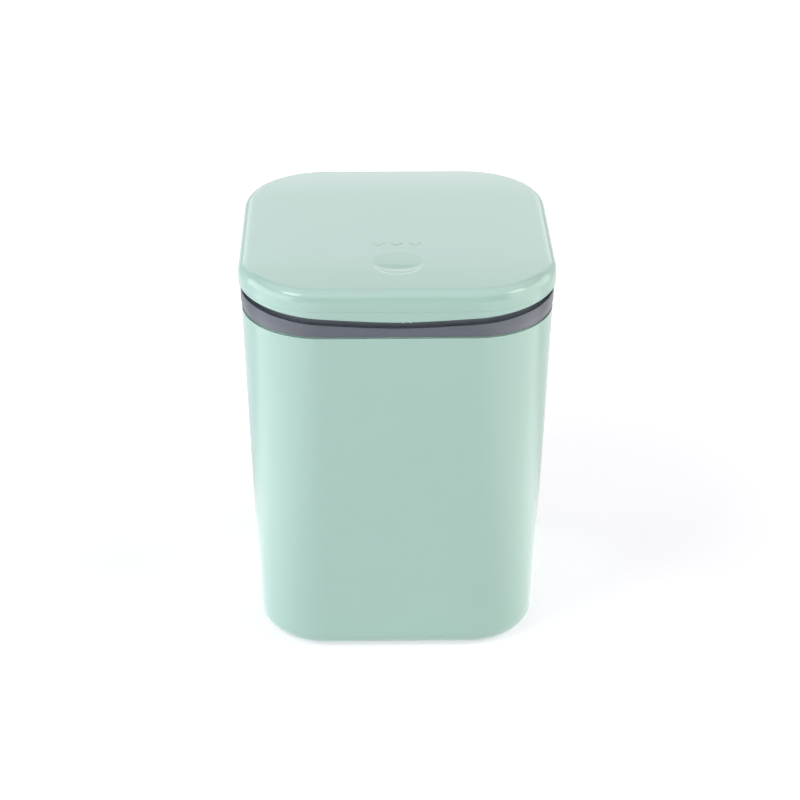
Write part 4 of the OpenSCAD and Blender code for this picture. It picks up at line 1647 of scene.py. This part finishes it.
@dataclass
class Latch:
    """The push latch inside the collar's front, its striker under the lid, and the screws."""

    sizes: BinSizes
    dresser: Dresser
    nodes: dict
    wire_r: float = 0.4
    turns: float = 7.0
    steps_per_turn: int = 28
    closed_share: float = 0.12
    cam_y: float = -60.0
    cam_bend: float = 0.7
    head_h: float = 1.6
    shank_r: float = 1.15
    point_len: float = 0.8
    recess_len: float = 2.5
    recess_w: float = 0.6
    recess_depth: float = 0.8

    def build(self) -> None:
        """Dresses the moulded pieces and builds the spring, the cam wire and the screws."""
        for name in ("latch_case", "latch_cover", "latch_plunger", "striker"):
            self.dresser.keep(self.nodes[name], self.dresser.dark, 0.15)
        self._spring()
        self._cam_wire()
        self._screws()

    def _spring(self) -> None:
        """Builds the plunger's compression spring with closed ends."""
        low, high = in_mm(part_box("latch_spring"))
        middle = (low + high) / 2
        radius = (high.x - low.x) / 2 - self.wire_r
        bottom, top = low.z + self.wire_r * 0.8, high.z - self.wire_r * 0.8
        count = int(self.turns * self.steps_per_turn)
        climb = [smooth_step(i / count, -self.closed_share, 1 + self.closed_share) for i in range(count + 1)]
        round_about = arc(radius, 0, 360 * self.turns, count, (middle.x, middle.y))
        path = []
        for (x, y), share in zip(round_about, climb):
            path.append(Vector((x, y, bottom + (top - bottom) * (share - climb[0]) / (climb[-1] - climb[0]))))
        shell = Shell()
        shell.tube(path, self.wire_r)
        spring = shell.build("plunger_spring", 60)
        self.dresser.dress(spring, self.dresser.spring, Body.COLLAR, Slot.SPRING)
        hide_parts("latch_spring")
        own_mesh(spring)

    def _cam_wire(self) -> None:
        """Builds the bent wire that follows the plunger's heart-shaped track."""
        low, high = in_mm(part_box("cam_wire"))
        radius = (high.x - low.x) / 2
        foot_z, tip_z = low.z + radius, high.z - radius
        y, bend = self.cam_y, self.cam_bend
        spots = [(low.y, foot_z)] + arc(bend, -90, 0, 6, (y - bend, foot_z + bend))
        spots += arc(bend, 180, 90, 6, (y + bend, tip_z - bend)) + [(high.y, tip_z)]
        shell = Shell()
        shell.tube([Vector((0, *spot)) for spot in spots], radius)
        wire = shell.build("cam_wire_bent", 60)
        self.dresser.dress(wire, self.dresser.spring, Body.CAM, Slot.SPRING)
        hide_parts("cam_wire")

    def _screws(self) -> None:
        """Builds the three groups of pan-head screws."""
        head_r, head_h = self.sizes.screw_head_r, self.head_h
        up, forward = Vector((0, 0, 1)), Vector((0, -1, 0))
        low, high = in_mm(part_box("case_screws"))
        far, seat, z = high.x - head_r, high.y - head_h, (low.z + high.z) / 2
        spots = [Vector((side.value * far, seat, z)) for side in Side]
        self._screw_group("latch_case_screws", "case_screws", spots, forward, seat - low.y, Body.COLLAR)
        low, high = in_mm(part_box("striker_screws"))
        far, seat, y = high.x - head_r, low.z + head_h, (low.y + high.y) / 2
        spots = [Vector((side.value * far, y, seat)) for side in Side]
        length = high.z - low.z - head_h
        self._screw_group("striker_plate_screws", "striker_screws", spots, up, length, Body.LID)
        low, high = in_mm(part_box("liner_screws"))
        far_x, far_y, seat = high.x - head_r, high.y - head_r, low.z + head_h
        spots = [Vector((sx.value * far_x, sy.value * far_y, seat)) for sx in Side for sy in Side]
        length = high.z - low.z - head_h
        self._screw_group("lid_joining_screws", "liner_screws", spots, up, length, Body.LID)

    def _screw_group(
        self, name: str, node: str, spots: Sequence[Vector], along: Vector, length: float, body: Body
    ) -> None:
        """Builds one group of like screws as one piece.

        Args:
            name: the piece's name.
            node: the CAD node that it stands for.
            spots: where each head's seat is.
            along: which way their shanks run.
            length: length of the shank.
            body: the body that they ride on.
        """
        shell = Shell()
        for place in spots:
            shell.take(self._screw(length), axis_frame(place, along))
        group = shell.build(name, 30)
        self.dresser.dress(group, self.dresser.screw, body, Slot.SCREW)
        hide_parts(node)

    def _screw(self, length: float) -> bmesh.types.BMesh:
        """One pan-head screw with a cross recess, its seat at z = 0 and its shank along +Z.

        Args:
            length: length of the shank.

        Returns:
            The screw's mesh.
        """
        r, h, shank = self.sizes.screw_head_r, self.head_h, self.shank_r
        dome = [(0, 1.0), (0.3, 0.99), (0.6, 0.93), (0.84, 0.76), (0.96, 0.5), (1.0, 0.22)]
        profile = [(r * x, -h * z) for x, z in dome] + [(r, -0.1), (r - 0.1, 0)]
        profile += [(shank, 0), (shank, length - self.point_len), (shank * 0.55, length), (0, length)]
        body = Shell()
        body.lathe(profile, Matrix.Identity(4), 48)
        cutter = Shell()
        top, deep = self.recess_len / 2, self.recess_len / 4
        half_blade = [(top, -h - 0.5), (top, -h), (deep, -h + self.recess_depth)]
        blade = half_blade + [(-x, z) for x, z in reversed(half_blade)]
        upright = Matrix(((1, 0, 0, 0), (0, 0, 1, 0), (0, 1, 0, 0), (0, 0, 0, 1)))
        for turn in (0, math.pi / 2):
            cutter.prism(blade, self.recess_w, Matrix.Rotation(turn, 4, "Z") @ upright, 0.05)
        solid, knife = body.build("screw_body"), cutter.build("screw_recess")
        cut = solid.modifiers.new("recess", "BOOLEAN")
        cut.operation = "DIFFERENCE"
        cut.solver = "EXACT"
        cut.use_self = True
        cut.object = knife
        view = bpy.context.evaluated_depsgraph_get()
        result = bmesh.new()
        result.from_mesh(solid.evaluated_get(view).to_mesh())
        bmesh.ops.scale(result, vec=(1 / MM, 1 / MM, 1 / MM), verts=result.verts)
        for spare in (solid, knife):
            bpy.data.objects.remove(spare)
        return result


# Studio


@dataclass(frozen=True)
class PhotoCamera:
    """Where the photograph was taken from, found by fitting the bin's outline to it, in mm and pixels."""

    target_z: float = 100.0
    distance: float = 1059.8
    elevation_deg: float = 28.665
    yaw_deg: float = 1.108
    roll_deg: float = 0.135
    focal_px: float = 2090.97
    image_px: float = 800.0
    off_x_px: float = -4.371
    off_y_px: float = 5.669
    sensor_mm: float = 36.0

    def build(self) -> None:
        """Makes the camera and gives it to the scene."""
        data = bpy.data.cameras.new("photo_camera")
        data.sensor_width = self.sensor_mm
        data.lens = self.focal_px / self.image_px * self.sensor_mm
        data.shift_x = -self.off_x_px / self.image_px
        data.shift_y = self.off_y_px / self.image_px
        data.clip_start, data.clip_end = 0.05, 30.0
        camera = bpy.data.objects.new("photo_camera", data)
        up = math.radians(self.elevation_deg)
        yaw = Matrix.Rotation(-math.radians(self.yaw_deg), 4, "Z")
        away = yaw @ Vector((0, -math.cos(up), math.sin(up)))
        target = Vector((0, 0, self.target_z))
        camera.location = (target + away * self.distance) * MM
        aim = (-away).to_track_quat("-Z", "Y").to_matrix().to_4x4()
        camera.rotation_mode = "QUATERNION"
        roll = Matrix.Rotation(math.radians(self.roll_deg), 4, "Z")
        camera.rotation_quaternion = (aim @ roll).to_quaternion()
        bpy.context.scene.collection.objects.link(camera)
        bpy.context.scene.camera = camera


@dataclass(frozen=True)
class Softbox:
    """One soft lamp, placed by its bearing from the bin: 0 is the front and 90 the right."""

    name: str
    bearing_deg: float
    elevation_deg: float
    distance_m: float
    width_m: float
    height_m: float
    radiance: float
    colour: str
    mirrored: bool = True
    aim_m: float = 0.12

    def build(self) -> None:
        """Makes the lamp, which glossy surfaces mirror unless mirrored is off."""
        data = bpy.data.lights.new(self.name, "AREA")
        data.shape = "RECTANGLE"
        data.size, data.size_y = self.width_m, self.height_m
        data.energy = self.radiance * math.pi * self.width_m * self.height_m
        data.color = linear(self.colour)[:3]
        lamp = bpy.data.objects.new(self.name, data)
        bearing, up = math.radians(self.bearing_deg), math.radians(self.elevation_deg)
        away = Vector((math.sin(bearing) * math.cos(up), -math.cos(bearing) * math.cos(up), math.sin(up)))
        lamp.location = away * self.distance_m + Vector((0, 0, self.aim_m))
        lamp.rotation_mode = "QUATERNION"
        lamp.rotation_quaternion = (-away).to_track_quat("-Z", "Y")
        lamp.visible_camera = False
        lamp.visible_glossy = self.mirrored
        bpy.context.scene.collection.objects.link(lamp)


def by_ray(tree: Tree, lit: float, seen: float | Socket, gloss: float | Socket) -> Socket:
    """A strength that depends on what kind of ray asks for it.

    Args:
        tree: the node tree that gets the nodes.
        lit: strength for rays that light the bin.
        seen: strength for camera and transmission rays.
        gloss: strength for glossy rays.

    Returns:
        The strength's socket.
    """
    path = add_node(tree, "ShaderNodeLightPath").outputs
    straight = maths(tree, "MAXIMUM", path["Is Camera Ray"], path["Is Transmission Ray"])
    open_ray = ramp(tree, straight, (0.0, 1.0), (lit, seen))
    return add_node(tree, "ShaderNodeMix", in_0=path["Is Glossy Ray"], in_2=open_ray, in_3=gloss).outputs[0]


@dataclass(frozen=True)
class Studio:
    """Plain white studio: paper floor and walls, and large soft lamps at both sides.

    The photograph's paper is over-exposed, so glossy rays see it at wall_gloss and floor_gloss while the
    camera sees plain white; the walls give way to a lit ceiling between wall_top_deg and ceiling_deg.
    Gloss sees the floor side_gloss times as bright beside the bin, over the distances side_m from its
    middle, and back_gloss times as bright behind it, over back_m. The floor's own glow to the camera
    rises from near_glow to far_glow over glow_m.
    """

    floor_half_m: float = 6.0
    floor_albedo: float = 0.7
    near_glow: float = 0.5
    far_glow: float = 1.0
    glow_m: Spot = (0.16, 0.6)
    floor_gloss: float = 1.15
    side_gloss: float = 1.75
    side_m: Spot = (0.05, 0.22)
    back_gloss: float = 0.25
    back_m: Spot = (-0.01, 0.1)
    world_strength: float = 0.12
    wall_gloss: float = 0.98
    wall_top_deg: float = 34.0
    ceiling_gloss: float = 3.0
    ceiling_deg: float = 66.0
    paper: str = "#FBF8FF"
    boxes: tuple[Softbox, ...] = (
        Softbox("panel_left", -78.0, 18.0, 1.5, 2.2, 1.0, 2.85, "#F7F8FF"),
        Softbox("panel_right", 86.0, 18.0, 1.5, 2.2, 1.0, 2.15, "#FFF8F3"),
        Softbox("key_left", -56.0, 52.0, 1.5, 0.5, 0.42, 6.0, "#FAFCFF"),
        Softbox("key_right", 71.0, 43.0, 1.5, 0.5, 0.42, 5.5, "#FFFCFA"),
        Softbox("back_wall", 180.0, 24.0, 1.7, 2.2, 1.0, 1.15, "#FFFFFF"),
        Softbox("front_fill", 0.0, 17.0, 1.6, 1.8, 0.6, 1.75, "#FFFFFF", False),
    )

    def build(self) -> None:
        """Makes the floor, the world and the lamps, and sets the colour view."""
        bpy.context.scene.view_settings.view_transform = "Standard"
        self._world()
        self._floor()
        for box in self.boxes:
            box.build()

    def _world(self) -> None:
        """White to the camera, paper walls under a lit ceiling to gloss, and weak as a source of light."""
        world = bpy.data.worlds.new("studio_world")
        world.use_nodes = True
        tree = world.node_tree
        tree.nodes.clear()
        place = add_node(tree, "ShaderNodeTexCoord").outputs["Generated"]
        height = add_node(tree, "ShaderNodeSeparateXYZ", Vector=place).outputs["Z"]
        low, high = (math.sin(math.radians(angle)) for angle in (self.wall_top_deg, self.ceiling_deg))
        walls = ramp(tree, height, (low, high), (self.wall_gloss, self.ceiling_gloss), smooth=True)
        strength = by_ray(tree, self.world_strength, 1.0, walls)
        sky = add_node(tree, "ShaderNodeBackground", Color=linear(self.paper), Strength=strength)
        plain = add_node(tree, "ShaderNodeBackground", Color=(1, 1, 1, 1), Strength=1.0)
        camera = add_node(tree, "ShaderNodeLightPath").outputs["Is Camera Ray"]
        both = add_node(tree, "ShaderNodeMixShader", in_0=camera, in_1=sky.outputs[0], in_2=plain.outputs[0])
        add_node(tree, "ShaderNodeOutputWorld", Surface=both.outputs[0])
        bpy.context.scene.world = world

    def _mirrored_floor(self, tree: Tree, place: Socket) -> Socket:
        """How bright gloss sees the paper: brightest beside the bin, under the panels, and dim behind it.

        Args:
            tree: the floor's nodes.
            place: where on the floor a point is.

        Returns:
            The strength's socket.
        """
        axes = add_node(tree, "ShaderNodeSeparateXYZ", Vector=place).outputs
        off = maths(tree, "ABSOLUTE", axes["X"])
        gloss = self.floor_gloss
        beside = ramp(tree, off, self.side_m, (gloss, gloss * self.side_gloss), smooth=True)
        behind = ramp(tree, axes["Y"], self.back_m, (1.0, self.back_gloss), smooth=True)
        return maths(tree, "MULTIPLY", beside, behind)

    def _floor(self) -> None:
        """A pale floor that glows to white, keeps the bin's shadow, and is open from below."""
        h = self.floor_half_m
        data = bpy.data.meshes.new("studio_floor")
        data.from_pydata([(-h, -h, 0), (h, -h, 0), (h, h, 0), (-h, h, 0)], [], [(0, 1, 2, 3)])
        floor = bpy.data.objects.new("studio_floor", data)
        bpy.context.scene.collection.objects.link(floor)
        material, tree, place = new_material("studio_paper")
        paper = add_node(tree, "ShaderNodeBsdfDiffuse", Color=scaled((1, 1, 1), self.floor_albedo))
        reach = add_node(tree, "ShaderNodeVectorMath", {"operation": "LENGTH"}, in_0=place).outputs["Value"]
        seen = ramp(tree, reach, self.glow_m, (self.near_glow, self.far_glow), smooth=True)
        glow = by_ray(tree, 0.0, seen, self._mirrored_floor(tree, place))
        light = add_node(tree, "ShaderNodeEmission", Color=linear(self.paper), Strength=glow)
        lit = add_node(tree, "ShaderNodeAddShader", in_0=paper.outputs[0], in_1=light.outputs[0])
        clear = add_node(tree, "ShaderNodeBsdfTransparent")
        below = add_node(tree, "ShaderNodeNewGeometry").outputs["Backfacing"]
        both = add_node(tree, "ShaderNodeMixShader", in_0=below, in_1=lit.outputs[0], in_2=clear.outputs[0])
        add_node(tree, "ShaderNodeOutputMaterial", Surface=both.outputs[0])
        data.materials.append(material)
        floor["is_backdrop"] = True


def main() -> None:
    """Loads the frame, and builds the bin's sub-assemblies and the studio."""
    logging.basicConfig(level=logging.INFO, format="%(name)s: %(message)s")
    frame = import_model()
    cad_box = tuple(c.copy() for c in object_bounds())
    sizes = BinSizes.from_frame()
    dresser = Dresser(Finishes())
    Tub(sizes, dresser).build()
    Collar(sizes, dresser).build()
    Latch(sizes, dresser, frame["nodes"]).build()
    Hinge(sizes, dresser).build()
    Lid(sizes, dresser).build()
    PhotoCamera().build()
    Studio().build()


if __name__ == "__main__":
    main()
